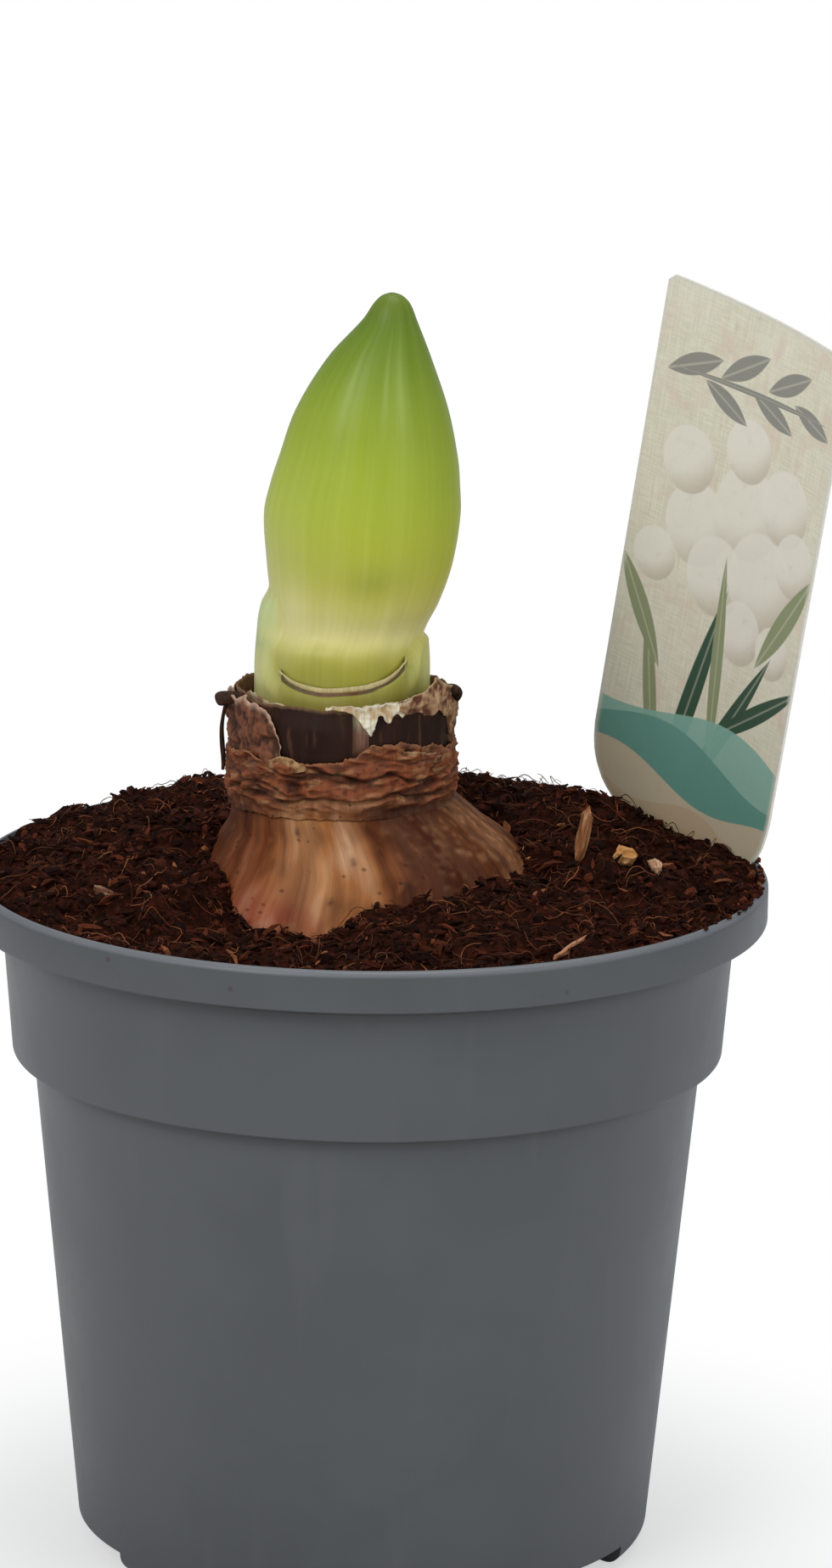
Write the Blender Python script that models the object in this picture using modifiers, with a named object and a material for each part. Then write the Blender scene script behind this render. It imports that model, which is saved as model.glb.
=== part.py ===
"""A potted amaryllis: a bulb sprouting in a round nursery pot, with its stick-in label.

Units are metres, +Z is up, and the origin is the centre of the pot's base. The front of the
pot faces -Y. Angles round the plant are measured from the front (-Y) towards the right (+X).
Tables are in millimetres and degrees.
"""

import math

import bmesh
import bpy
from mathutils import Vector

MM = 0.001
GAP = 0.3 * MM  # clearance between pieces that touch
FULL_TURN = (-math.pi, math.pi)

# Pot
POT_HEIGHT = 112.0 * MM
RIM_RADIUS = 65.0 * MM
RIM_EDGE = 1.2 * MM  # rounding of the rim's top corner
RIM_BAND = 6.9 * MM  # upright face of the rim
COLLAR_TOP_RADIUS = 59.8 * MM
COLLAR_LOW_RADIUS = 58.1 * MM
COLLAR_LOW = 82.6 * MM  # where the collar steps in to the body
BODY_TOP_RADIUS = 54.7 * MM
STEP_ROUND = 0.7 * MM  # rounding of the rim's and the collar's lower edges
STEP_RISE = 0.5 * MM  # how much the underside of each rises towards the wall
BODY_LOW_RADIUS = 47.3 * MM
WALL = 1.3 * MM
LOW_RING = 8.0 * MM  # a ring of points that keeps the foot's cuts off the tall wall
LOW_RING_RADIUS = BODY_LOW_RADIUS + (BODY_TOP_RADIUS - BODY_LOW_RADIUS) * LOW_RING / COLLAR_LOW
FOOT_HEIGHT = 3.5 * MM
FOOT_RADIUS = 3.2 * MM  # rounding at the bottom of the wall
FOOT_INNER_RADIUS = 42.5 * MM
CENTRE_PAD_RADIUS = 13.0 * MM
BASE_TOP = FOOT_HEIGHT + 1.2 * MM
FOOT_GAPS = 6
FOOT_GAP_WIDTH = 27.0 * MM
FOOT_GAP_DEPTH = 14.0 * MM
FIRST_FOOT_GAP = math.radians(47.0)
DRAIN_RADIUS = 4.0 * MM
DRAIN_CIRCLE = 34.0 * MM
POT_SIDES = 60

# Potting mix
SOIL_SIDES = 48
SOIL_RINGS = 7
# (angle from the front, height at the pot's wall): it is heaped a little over the rim behind
SOIL_EDGE = [
    (-180, 112.7), (-135, 112.5), (-115, 111.6), (-90, 110.4), (-60, 109.8), (0, 109.8),
    (60, 110.0), (80, 111.4), (95, 112.2), (130, 112.6), (180, 112.7),
]
MOUND_RADIUS = 31.0 * MM  # where the mix has risen to its height against the bulb
# (angle from the front, height against the bulb)
SOIL_AGAINST_BULB = [
    (-180, 120.6), (-90, 117.5), (-72, 116.0), (-56, 114.0), (-40, 108.8), (-14, 108.4),
    (0, 112.4), (20, 113.6), (50, 114.3), (90, 116.2), (180, 120.6),
]
BANK_TURN = math.radians(122.0)  # the mix is heaped up where the label goes in
BANK_RADIUS = 43.0 * MM
BANK_HEIGHT = 3.4 * MM

# Bulb
BULB_X = -0.5 * MM
NECK_X = -4.7 * MM
NECK_TOP = 140.3 * MM
NECK_RADIUS = 15.6 * MM
SOCKET_RADIUS = 14.6 * MM
SOCKET_FLOOR = 130.0 * MM
BULB_SIDES = 36
# (height, radius) from the root plate up
BULB_BODY = [
    (52.0, 12.0), (53.5, 16.5), (58.0, 23.5), (66.0, 30.4), (76.0, 34.6), (86.0, 36.0),
    (96.0, 34.7), (104.0, 32.0), (110.0, 29.2), (116.2, 24.9),
]
# (height, share of the way over to the neck, radius)
BULB_SHOULDER = [(118.4, 0.15, 23.1), (120.4, 0.35, 21.0), (123.0, 0.65, 19.2), (125.4, 0.92, 17.2)]

# Dry scales round the neck
SCALE_SIDES = 42
TUNIC_FOOT = 126.6 * MM
PALE_SCALE_RADIUS = 16.6 * MM
PALE_SCALE_TOP = 142.8 * MM
PALE_SCALE_WALL = 0.7 * MM
DARK_TUNIC_RADIUS = 17.7 * MM
DARK_TUNIC_TOP = 142.1 * MM
DARK_TUNIC_WALL = 0.8 * MM
DARK_TUNIC_ENDS = (20, 370)  # it is split at the front
OUTER_TUNIC_HEM = 122.2 * MM
OUTER_TUNIC_DIP = 1.4 * MM  # the hem hangs this much lower at the front than at the sides
OUTER_TUNIC_TOP = 133.2 * MM
OUTER_TUNIC_WALL = 0.8 * MM
SHOULDER_EASE = 1.9 * MM  # how far its outside stands off the bulb's shoulder
NECK_EASE = 1.2 * MM  # and off the dark tunic
FLAP_WALL = 0.7 * MM
FLAP_FOOT = 135.0 * MM

# Leaf sheath, stem and bud
SHEATH_RADIUS = 14.3 * MM
SHEATH_WALL = 1.3 * MM
# (angle from the front, height of the rim)
SHEATH_RIM = [
    (-180, 151.5), (-140, 155.5), (-100, 160.6), (-78, 159.6), (-62, 152.5), (-50, 147.2), (-25, 145.1),
    (0, 144.6), (25, 145.4), (50, 148.8), (66, 151.0), (84, 152.6), (110, 151.6), (145, 149.5),
    (180, 151.5),
]
MEMBRANE_RADIUS = SHEATH_RADIUS - SHEATH_WALL - GAP
MEMBRANE_WALL = 0.6 * MM
MEMBRANE_SHOWS = 0.9 * MM  # above the sheath's lip
MEMBRANE_TOP = 147.0 * MM
STEM_RADIUS = 11.2 * MM
STEM_TOP = 149.7 * MM
BUD_SIDES = 36
# (height, centre x, half width, half depth)
BUD_SECTIONS = [
    (150.0, -4.0, 11.6, 10.9), (153.0, -3.5, 12.4, 11.3), (157.0, -2.7, 13.6, 11.9),
    (163.3, -2.0, 15.0, 12.6), (171.0, -1.65, 15.8, 13.0), (176.0, -1.2, 15.2, 12.8),
    (180.0, -0.75, 14.4, 12.3), (188.0, -0.2, 12.2, 10.7), (196.5, 0.9, 8.2, 7.6),
    (202.6, 2.4, 4.3, 4.1), (205.2, 2.7, 2.9, 2.8), (206.5, 2.7, 1.6, 1.5), (206.9, 2.7, 0.5, 0.5),
]

# Label
LABEL_FOOT = Vector((51.8 * MM, 23.5 * MM, 113.4 * MM))  # middle of the label where it meets the mix
LABEL_YAW = math.radians(51.4)
LABEL_TILT = math.radians(12.0)
LABEL_CURL = 118.0 * MM  # radius of its curl about its length
LABEL_THICKNESS = 0.6 * MM
LABEL_COLUMNS = 8
STAKE_BEND = 62.0 * MM  # radius that turns the stake in from the sloping wall of the pot
STAKE_BEND_START = -4.0 * MM
# (height up the label from its foot, half width)
LABEL_OUTLINE = [
    (-46.0, 1.0), (-43.0, 2.7), (-40.0, 4.0), (-30.0, 4.4), (-20.0, 4.8), (-10.0, 5.0), (-7.0, 5.2),
    (-5.2, 5.8), (-3.6, 9.0), (-2.5, 12.0), (-1.0, 15.4), (0.5, 17.6), (2.0, 19.2), (4.0, 20.6), (6.0, 21.6),
    (8.5, 22.2), (11.0, 22.5), (31.0, 22.5), (51.0, 22.5), (71.0, 22.5), (91.0, 22.5),
]

# Loose bits on the mix: angle from the front, distance out, (width, depth, height), lift, lean
BARK_CHIPS = [
    (82, 35.0, (2.8, 1.8, 12.0), 4.0, (8, 8, 20)),
    (80, 42.0, (4.8, 3.0, 4.4), 1.2, (20, 30, 40)),
    (79, 47.2, (2.2, 4.6, 2.4), 0.8, (10, -14, 10)),
    (-62, 47.0, (6.4, 3.0, 2.2), 0.6, (-8, 12, -30)),
    (35, 55.0, (8.0, 1.4, 1.4), 0.9, (0, -20, 40)),
    (-160, 50.0, (6.0, 3.4, 2.4), 0.6, (12, 8, 110)),
]

COLOURS = {
    "pot_plastic": ((0.105, 0.112, 0.122), 0.45),
    "potting_mix": ((0.030, 0.010, 0.006), 0.95),
    "bulb_skin": ((0.300, 0.120, 0.055), 0.60),
    "dark_scale": ((0.030, 0.013, 0.009), 0.55),
    "dry_scale": ((0.150, 0.060, 0.030), 0.70),
    "pale_scale": ((0.480, 0.360, 0.220), 0.70),
    "leaf_green": ((0.340, 0.340, 0.070), 0.45),
    "bud_green": ((0.260, 0.370, 0.045), 0.40),
    "label_card": ((0.500, 0.460, 0.340), 0.40),
    "bark": ((0.330, 0.150, 0.050), 0.85),
}


# Helpers


def clear_scene():
    for old in list(bpy.data.objects):
        bpy.data.objects.remove(old)


def collection(name, shown=True):
    made = bpy.data.collections.new(name)
    bpy.context.scene.collection.children.link(made)
    made.hide_render = not shown
    return made


def material(name):
    found = bpy.data.materials.get(name)
    if found:
        return found
    colour, roughness = COLOURS[name]
    made = bpy.data.materials.new(name)
    made.use_nodes = True
    shader = made.node_tree.nodes["Principled BSDF"]
    shader.inputs["Base Color"].default_value = (*colour, 1.0)
    shader.inputs["Roughness"].default_value = roughness
    shader.inputs["Metallic"].default_value = 0.0
    return made


def add_object(name, mesh, group, finish=None):
    made = bpy.data.objects.new(name, mesh)
    group.objects.link(made)
    if finish:
        mesh.materials.append(material(finish))
    if group.hide_render:
        made.hide_render = True
        made.display_type = "WIRE"
    return made


def shade(mesh):
    mesh.shade_smooth()
    mesh.set_sharp_from_angle(angle=math.radians(35))


def primitive(name, create, group, finish=None, **sizes):
    """An object from one of bmesh's primitives."""
    build = bmesh.new()
    create(build, **sizes)
    mesh = bpy.data.meshes.new(name)
    build.to_mesh(mesh)
    build.free()
    return add_object(name, mesh, group, finish)


def turned(name, profile, sides, group, finish=None):
    """A profile of (radius, height) turned about the Z axis."""
    mesh = bpy.data.meshes.new(name)
    points = [(radius, 0.0, height) for radius, height in profile]
    mesh.from_pydata(points, [(i, i + 1) for i in range(len(points) - 1)], [])
    made = add_object(name, mesh, group, finish)
    screw = made.modifiers.new("turn", "SCREW")
    screw.steps = sides
    screw.render_steps = sides
    screw.use_merge_vertices = True
    screw.merge_threshold = 0.00001
    screw.use_smooth_shade = True
    return made


def loft(name, rings, group, finish=None):
    """A closed body through rings of equal count, capped with a fan at each end."""
    count = len(rings[0])
    points = [point for ring in rings for point in ring]
    faces = []
    for row in range(len(rings) - 1):
        low = row * count
        high = low + count
        for i in range(count):
            j = (i + 1) % count
            faces.append((low + i, low + j, high + j, high + i))
    for first in (0, (len(rings) - 1) * count):
        hub = len(points)
        points.append(sum((Vector(p) for p in points[first:first + count]), Vector()) / count)
        faces += [(hub, first + i, first + (i + 1) % count) for i in range(count)]
    mesh = bpy.data.meshes.new(name)
    mesh.from_pydata(points, [], faces)
    build = bmesh.new()
    build.from_mesh(mesh)
    bmesh.ops.recalc_face_normals(build, faces=build.faces)
    build.to_mesh(mesh)
    build.free()
    shade(mesh)
    return add_object(name, mesh, group, finish)


def sheet(name, rows, wall, offset, group, finish, closed=False):
    """An open surface through rows of points, given its thickness by Solidify."""
    stops = len(rows[0])
    points = [point for row in rows for point in row]
    faces = []
    for row in range(len(rows) - 1):
        low = row * stops
        high = low + stops
        for i in range(stops if closed else stops - 1):
            j = (i + 1) % stops
            faces.append((low + i, low + j, high + j, high + i))
    mesh = bpy.data.meshes.new(name)
    mesh.from_pydata(points, [], faces)
    shade(mesh)
    made = add_object(name, mesh, group, finish)
    thick = made.modifiers.new("wall", "SOLIDIFY")
    thick.thickness = wall
    thick.offset = offset
    thick.use_even_offset = True
    return made


def cut(target, cutter):
    step = target.modifiers.new(f"cut {cutter.name}", "BOOLEAN")
    step.object = cutter
    step.operation = "DIFFERENCE"
    step.solver = "EXACT"


def ease(share):
    share = min(1.0, max(0.0, share))
    return share * share * (3 - 2 * share)


def between(place, table):
    """Smooth interpolation in a table of (place, amount) rows."""
    for (low, first), (high, second) in zip(table, table[1:]):
        if place <= high:
            return first + (second - first) * ease((place - low) / (high - low))
    return table[-1][1]


def half_turn(turn):
    """The same angle, from -180 to 180 degrees."""
    return math.degrees((turn + math.pi) % (2 * math.pi) - math.pi)


def around(turn, radius, height, centre_x=0.0):
    """A point at an angle from the front, towards the right."""
    return Vector((centre_x + radius * math.sin(turn), -radius * math.cos(turn), height))


def level_ring(centre_x, height, half_width, sides, half_depth=None):
    """Points of a level ellipse, starting at the front and going round to the right."""
    depth = half_depth or half_width
    turns = [2 * math.pi * i / sides for i in range(sides)]
    return [(centre_x + half_width * math.sin(turn), -depth * math.cos(turn), height) for turn in turns]


def arc(centre, across, up, start, end, steps):
    """Points on an elliptical arc about a centre, between two angles in degrees."""
    turns = [math.radians(start + (end - start) * i / steps) for i in range(steps + 1)]
    return [(centre[0] + across * math.cos(turn), centre[1] + up * math.sin(turn)) for turn in turns]


# Pot


def inner_wall(inset=0.0):
    """The cavity's side from its floor up, moved in by inset. A shelf runs round above each step."""
    corner = 1.6 * MM
    rim_low = POT_HEIGHT - RIM_BAND
    shelf = WALL + STEP_RISE
    rows = [
        (BODY_LOW_RADIUS - corner, BASE_TOP),
        (BODY_LOW_RADIUS, BASE_TOP + corner),
        (BODY_TOP_RADIUS, COLLAR_LOW + shelf),
        (COLLAR_LOW_RADIUS, COLLAR_LOW + shelf + 0.3 * MM),
        (COLLAR_TOP_RADIUS, rim_low + shelf),
        (RIM_RADIUS, rim_low + shelf + 0.3 * MM),
        (RIM_RADIUS, POT_HEIGHT),
    ]
    return [(radius - WALL - inset, height) for radius, height in rows]


def pot_profile():
    """Inside from the base's centre up to the rim, then down the outside and under the base."""
    rim_low = POT_HEIGHT - RIM_BAND
    edge = STEP_ROUND
    profile = [(0.0, BASE_TOP)] + inner_wall()
    profile += arc((RIM_RADIUS - RIM_EDGE, POT_HEIGHT - RIM_EDGE), RIM_EDGE, RIM_EDGE, 90, 0, 2)
    profile += arc((RIM_RADIUS - edge, rim_low + edge), edge, edge, 0, -90, 3)
    profile.append((COLLAR_TOP_RADIUS, rim_low + STEP_RISE))
    profile += arc((COLLAR_LOW_RADIUS - edge, COLLAR_LOW + edge), edge, edge, 0, -90, 3)
    profile.append((BODY_TOP_RADIUS, COLLAR_LOW + STEP_RISE))
    profile.append((LOW_RING_RADIUS, LOW_RING))
    profile += arc((BODY_LOW_RADIUS - FOOT_RADIUS, FOOT_RADIUS), FOOT_RADIUS, FOOT_RADIUS, 0, -90, 4)
    profile.append((FOOT_INNER_RADIUS, 0.0))
    profile.append((FOOT_INNER_RADIUS - 0.5 * MM, FOOT_HEIGHT))
    profile.append((CENTRE_PAD_RADIUS + 1.5 * MM, FOOT_HEIGHT))
    profile.append((CENTRE_PAD_RADIUS, 0.0))
    profile.append((0.0, 0.0))
    return profile


def make_pot(parts, cutters):
    pot = turned("pot", pot_profile(), POT_SIDES, parts, "pot_plastic")
    for number in range(FOOT_GAPS):
        turn = FIRST_FOOT_GAP + 2 * math.pi * number / FOOT_GAPS
        gap = primitive(f"foot_gap_{number + 1}", bmesh.ops.create_cube, cutters, size=1.0)
        gap.scale = (FOOT_GAP_WIDTH, FOOT_GAP_DEPTH, 2 * FOOT_HEIGHT)
        gap.location = around(turn, BODY_LOW_RADIUS - 1 * MM, 0.0)
        gap.rotation_euler.z = turn
        cut(pot, gap)
        drain = primitive(
            f"drain_cut_{number + 1}", bmesh.ops.create_cone, cutters, cap_ends=True, segments=16,
            radius1=DRAIN_RADIUS, radius2=DRAIN_RADIUS, depth=4 * FOOT_HEIGHT,
        )
        drain.location = around(turn, DRAIN_CIRCLE, FOOT_HEIGHT)
        cut(pot, drain)


# Bulb


def bulb_sections():
    """(height, centre x, radius) from the root plate up to the trimmed neck."""
    rows = [(height * MM, BULB_X, radius * MM) for height, radius in BULB_BODY]
    for height, share, radius in BULB_SHOULDER:
        rows.append((height * MM, BULB_X + (NECK_X - BULB_X) * share, radius * MM))
    rows.append((TUNIC_FOOT - GAP, NECK_X, NECK_RADIUS))
    rows.append((NECK_TOP, NECK_X, NECK_RADIUS))
    return rows


def bulb_rings(grow=0.0):
    rings = []
    for height, centre_x, radius in bulb_sections():
        lowest = height == BULB_BODY[0][0] * MM
        rings.append(level_ring(centre_x, height - (grow if lowest else 0.0), radius + grow, BULB_SIDES))
    return rings


def bulb_at(height):
    """(centre x, radius) of the bulb's surface at a height."""
    rows = bulb_sections()
    for (low, first_x, first), (high, second_x, second) in zip(rows, rows[1:]):
        if low <= height <= high:
            share = (height - low) / (high - low)
            return first_x + (second_x - first_x) * share, first + (second - first) * share
    return rows[-1][1:]


def make_bulb(parts, cutters):
    bulb = loft("bulb", bulb_rings(), parts, "bulb_skin")
    heights = (SOCKET_FLOOR, NECK_TOP + 5 * MM)
    rings = [level_ring(NECK_X, height, SOCKET_RADIUS, SCALE_SIDES) for height in heights]
    cut(bulb, loft("neck_socket", rings, cutters))


# Potting mix


def soil_height(turn, radius):
    """Top of the mix: about level with the rim at its edge, and banked up against the bulb behind."""
    inner = between(half_turn(turn), SOIL_AGAINST_BULB) * MM
    outer = between(half_turn(turn), SOIL_EDGE) * MM
    edge = RIM_RADIUS - WALL
    share = ease((edge - radius) / (edge - MOUND_RADIUS))
    lumps = 0.5 * MM * math.sin(5 * turn + 160 * radius) + 0.4 * MM * math.sin(9 * turn - 230 * radius)
    along = (turn - BANK_TURN) / 0.28
    out = (radius - BANK_RADIUS) / (11 * MM)
    bank = BANK_HEIGHT * math.exp(-along * along - out * out)
    return outer + (inner - outer) * share + (lumps + bank) * min(1.0, 4 * share)


def soil_rings():
    wall = inner_wall(GAP + 0.1 * MM)
    rings = [level_ring(0.0, height, radius, SOIL_SIDES) for radius, height in wall[:-1]]
    rings[0] = level_ring(0.0, BASE_TOP + GAP, wall[0][0], SOIL_SIDES)
    turns = [2 * math.pi * i / SOIL_SIDES for i in range(SOIL_SIDES)]
    for row in range(SOIL_RINGS):
        radius = wall[-1][0] * (1 - row / SOIL_RINGS)
        rings.append([around(turn, radius, soil_height(turn, radius)) for turn in turns])
    return rings


def make_soil(parts, cutters):
    soil = loft("soil", soil_rings(), parts, "potting_mix")
    cut(soil, loft("bulb_bed", bulb_rings(GAP), cutters))
    cut(soil, label_object("label_slot", GAP, cutters))
    for number, chip in enumerate(BARK_CHIPS, 1):
        cut(soil, chip_object(f"bark_bed_{number}", chip, GAP, cutters))


# Dry scales round the neck


def skin(name, ends, foot, top, outside, wall, parts, finish, columns, rows=2):
    """A thin curved scale between two angles. Foot and top give its heights at an angle, and
    outside gives the (centre x, radius) of its outer face at an angle and height."""
    first, last = ends
    closed = last - first >= 2 * math.pi - 1e-6
    turns = [first + (last - first) * i / columns for i in range(columns if closed else columns + 1)]
    lines = []
    for row in range(rows + 1):
        line = []
        for turn in turns:
            height = foot(turn) + (top(turn) - foot(turn)) * row / rows
            centre_x, radius = outside(turn, height)
            line.append(around(turn, radius, height, centre_x))
        lines.append(line)
    return sheet(name, lines, wall, -1.0, parts, finish, closed)


def level(height):
    return lambda turn: height


def ragged(base, depth, seed):
    """A torn edge: a height that wanders with the angle."""

    def height(turn):
        wave = math.sin(3 * turn + seed) + 0.7 * math.sin(7 * turn + 2 * seed)
        wave += 0.5 * math.sin(13 * turn + 3 * seed)
        return base + depth * wave / 2.2

    return height


def neck_round(radius):
    return lambda turn, height: (NECK_X, radius)


def outer_tunic_hem(turn):
    return OUTER_TUNIC_HEM - OUTER_TUNIC_DIP * math.cos(turn)


def outer_tunic_round(turn, height):
    """It follows the bulb's shoulder, then stands round the neck."""
    centre_x, radius = bulb_at(height)
    return centre_x, max(radius + SHOULDER_EASE, DARK_TUNIC_RADIUS + NECK_EASE)


def make_scales(parts):
    foot = level(TUNIC_FOOT)
    skin(
        "pale_neck_scale", FULL_TURN, foot, ragged(PALE_SCALE_TOP, 0.9 * MM, 1.0),
        neck_round(PALE_SCALE_RADIUS), PALE_SCALE_WALL, parts, "pale_scale", SCALE_SIDES,
    )
    ends = [math.radians(angle) for angle in DARK_TUNIC_ENDS]
    skin(
        "dark_inner_tunic", ends, foot, ragged(DARK_TUNIC_TOP, 0.35 * MM, 2.0),
        neck_round(DARK_TUNIC_RADIUS), DARK_TUNIC_WALL, parts, "dark_scale", SCALE_SIDES,
    )
    skin(
        "wrinkled_outer_tunic", FULL_TURN, outer_tunic_hem, ragged(OUTER_TUNIC_TOP, 0.8 * MM, 4.0),
        outer_tunic_round, OUTER_TUNIC_WALL, parts, "dry_scale", SCALE_SIDES, rows=8,
    )


def make_flap(name, angles, foot, top, curl, columns, parts):
    """A torn piece of the outer skin that still stands up, curling away from the neck."""
    start = DARK_TUNIC_RADIUS + GAP + FLAP_WALL
    ends = [math.radians(angle) for angle in angles]
    high = top(sum(ends) / 2)

    def outside(turn, height):
        return NECK_X, start + curl * ease((height - foot) / (high - foot)) ** 2

    skin(name, ends, level(foot), top, outside, FLAP_WALL, parts, "dry_scale", columns, rows=4)


def make_flaps(parts):
    raised_foot = FLAP_FOOT + 2.2 * MM
    make_flap("left_skin_flap", (-83, -46), FLAP_FOOT, ragged(142.3 * MM, 0.6 * MM, 5.0), 1.2 * MM, 6, parts)
    make_flap("left_torn_strip", (-95, -88), FLAP_FOOT, level(139.5 * MM), 1.3 * MM, 2, parts)
    make_flap("right_skin_flap", (38, 88), raised_foot, ragged(142.8 * MM, 0.8 * MM, 0.4), 1.0 * MM, 8, parts)
    make_flap("back_skin_flap", (128, 205), FLAP_FOOT, ragged(141.0 * MM, 1.0 * MM, 2.2), 1.4 * MM, 10, parts)


# Leaf sheath, stem and bud


def sheath_rim(turn):
    """Low lip at the front, a tall lobe at the left and a shorter one at the right."""
    return between(half_turn(turn), SHEATH_RIM) * MM


def sheath_round(turn, height):
    """The lobes lean with the bud, which stands a little to the right of the neck."""
    lean = ease((height - 146 * MM) / (16 * MM))
    return NECK_X + 1.0 * MM * lean, SHEATH_RADIUS + 0.6 * MM * lean


def membrane_top(turn):
    return min(sheath_rim(turn) + MEMBRANE_SHOWS, MEMBRANE_TOP)


def make_shoot(parts):
    foot = SOCKET_FLOOR + GAP
    skin(
        "leaf_sheath", FULL_TURN, level(foot), sheath_rim, sheath_round, SHEATH_WALL,
        parts, "leaf_green", SCALE_SIDES, rows=5,
    )
    skin(
        "sheath_membrane", FULL_TURN, level(foot), membrane_top, neck_round(MEMBRANE_RADIUS), MEMBRANE_WALL,
        parts, "pale_scale", SCALE_SIDES,
    )
    rings = [level_ring(NECK_X, height, STEM_RADIUS, BUD_SIDES) for height in (foot, STEM_TOP)]
    loft("flower_stem", rings, parts, "bud_green")
    rings = []
    for height, centre_x, half_width, half_depth in BUD_SECTIONS:
        rings.append(level_ring(centre_x * MM, height * MM, half_width * MM, BUD_SIDES, half_depth * MM))
    loft("flower_bud", rings, parts, "bud_green")


# Label


def label_point(across, up):
    """A place on the label's middle surface, curled about its length and bent in below the mix."""
    level_way = Vector((math.cos(LABEL_YAW), -math.sin(LABEL_YAW), 0.0))
    towards_bulb = Vector((-math.sin(LABEL_YAW), -math.cos(LABEL_YAW), 0.0))
    turn = across / LABEL_CURL
    flat = LABEL_CURL * math.sin(turn)
    buried = max(0.0, STAKE_BEND_START - up)
    hollow = LABEL_CURL * (1 - math.cos(turn)) + buried * buried / (2 * STAKE_BEND)
    along = math.cos(LABEL_TILT) * flat + math.sin(LABEL_TILT) * up
    rise = -math.sin(LABEL_TILT) * flat + math.cos(LABEL_TILT) * up
    return LABEL_FOOT + level_way * along + towards_bulb * hollow + Vector((0.0, 0.0, rise))


def label_object(name, grow, group):
    """The label, or with grow the slot that it stands in."""
    rows = []
    for up, half_width in LABEL_OUTLINE:
        half = half_width * MM + grow
        lowest = up == LABEL_OUTLINE[0][0]
        places = [half * (2 * i / LABEL_COLUMNS - 1) for i in range(LABEL_COLUMNS + 1)]
        rows.append([label_point(place, up * MM - (grow if lowest else 0.0)) for place in places])
    return sheet(name, rows, LABEL_THICKNESS + 2 * grow, 0.0, group, "label_card")


# Loose bits on the mix


def chip_object(name, chip, grow, group):
    """A broken bit of bark: a coarse ball squeezed to its size and dented."""
    angle, out, size, lift, lean = chip
    made = primitive(name, bmesh.ops.create_icosphere, group, "bark", subdivisions=1, radius=0.5)
    for vert in made.data.vertices:
        place = vert.co
        dent = 1 + 0.12 * math.sin(17 * place.x + 11 * place.y + 23 * place.z)
        vert.co = Vector([part * (length * MM + 2 * grow) * dent for part, length in zip(place, size)])
    turn = math.radians(angle)
    made.location = around(turn, out * MM, soil_height(turn, out * MM) + lift * MM)
    made.rotation_euler = [math.radians(degrees) for degrees in lean]
    return made


def make_chips(parts):
    for number, chip in enumerate(BARK_CHIPS, 1):
        chip_object(f"bark_chip_{number}", chip, 0.0, parts)


def main():
    clear_scene()
    parts = collection("potted_amaryllis")
    cutters = collection("cutters", shown=False)
    make_pot(parts, cutters)
    make_bulb(parts, cutters)
    make_soil(parts, cutters)
    make_scales(parts)
    make_flaps(parts)
    make_shoot(parts)
    label_object("plant_label", 0.0, parts)
    make_chips(parts)


main()
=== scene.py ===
import math
import random

import bmesh
import bpy
from mathutils import Euler, Matrix, Vector, noise
from mathutils.bvhtree import BVHTree
from mathutils.kdtree import KDTree


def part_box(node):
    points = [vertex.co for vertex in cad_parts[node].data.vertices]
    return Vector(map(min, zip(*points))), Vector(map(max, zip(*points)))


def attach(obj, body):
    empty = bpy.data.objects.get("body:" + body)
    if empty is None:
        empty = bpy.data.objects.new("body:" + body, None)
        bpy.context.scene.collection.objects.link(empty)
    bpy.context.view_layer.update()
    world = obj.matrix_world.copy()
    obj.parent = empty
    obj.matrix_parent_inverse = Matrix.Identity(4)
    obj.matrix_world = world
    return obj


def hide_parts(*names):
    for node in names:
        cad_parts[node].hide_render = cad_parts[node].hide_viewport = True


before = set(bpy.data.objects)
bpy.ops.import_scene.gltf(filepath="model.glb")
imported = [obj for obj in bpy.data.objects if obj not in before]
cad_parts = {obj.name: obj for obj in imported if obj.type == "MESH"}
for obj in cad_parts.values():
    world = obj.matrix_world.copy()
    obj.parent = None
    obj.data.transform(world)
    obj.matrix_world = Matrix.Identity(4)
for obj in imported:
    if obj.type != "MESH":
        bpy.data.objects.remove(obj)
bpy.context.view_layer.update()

mm = 0.001
potLow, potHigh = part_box("pot")
rimRadius, rimTop = (potHigh.x - potLow.x) / 2, potHigh.z
print("frame in place")


# ways of working: angles go round the plant from its front (-Y) towards its right (+X)

def ovalAt(turn, width, depth, height, centreX):
    return Vector((centreX + width * math.sin(turn), -depth * math.cos(turn), height))


def around(turn, radius, height, centreX=0.0):
    return ovalAt(turn, radius, radius, height, centreX)


def fullTurn(count):
    return [2 * math.pi * i / count for i in range(count)]


def ease(share):
    # from 0 to 1 with soft ends
    share = min(1.0, max(0.0, share))
    return share * share * (3 - 2 * share)


def bell(place, middle, width):
    # 1 in the middle, falling away on both sides
    return math.exp(-(((place - middle) / width) ** 2))


def halfTurn(turn):
    # degrees from the front, from -180 to 180
    return math.degrees((turn + math.pi) % (2 * math.pi) - math.pi)


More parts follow.
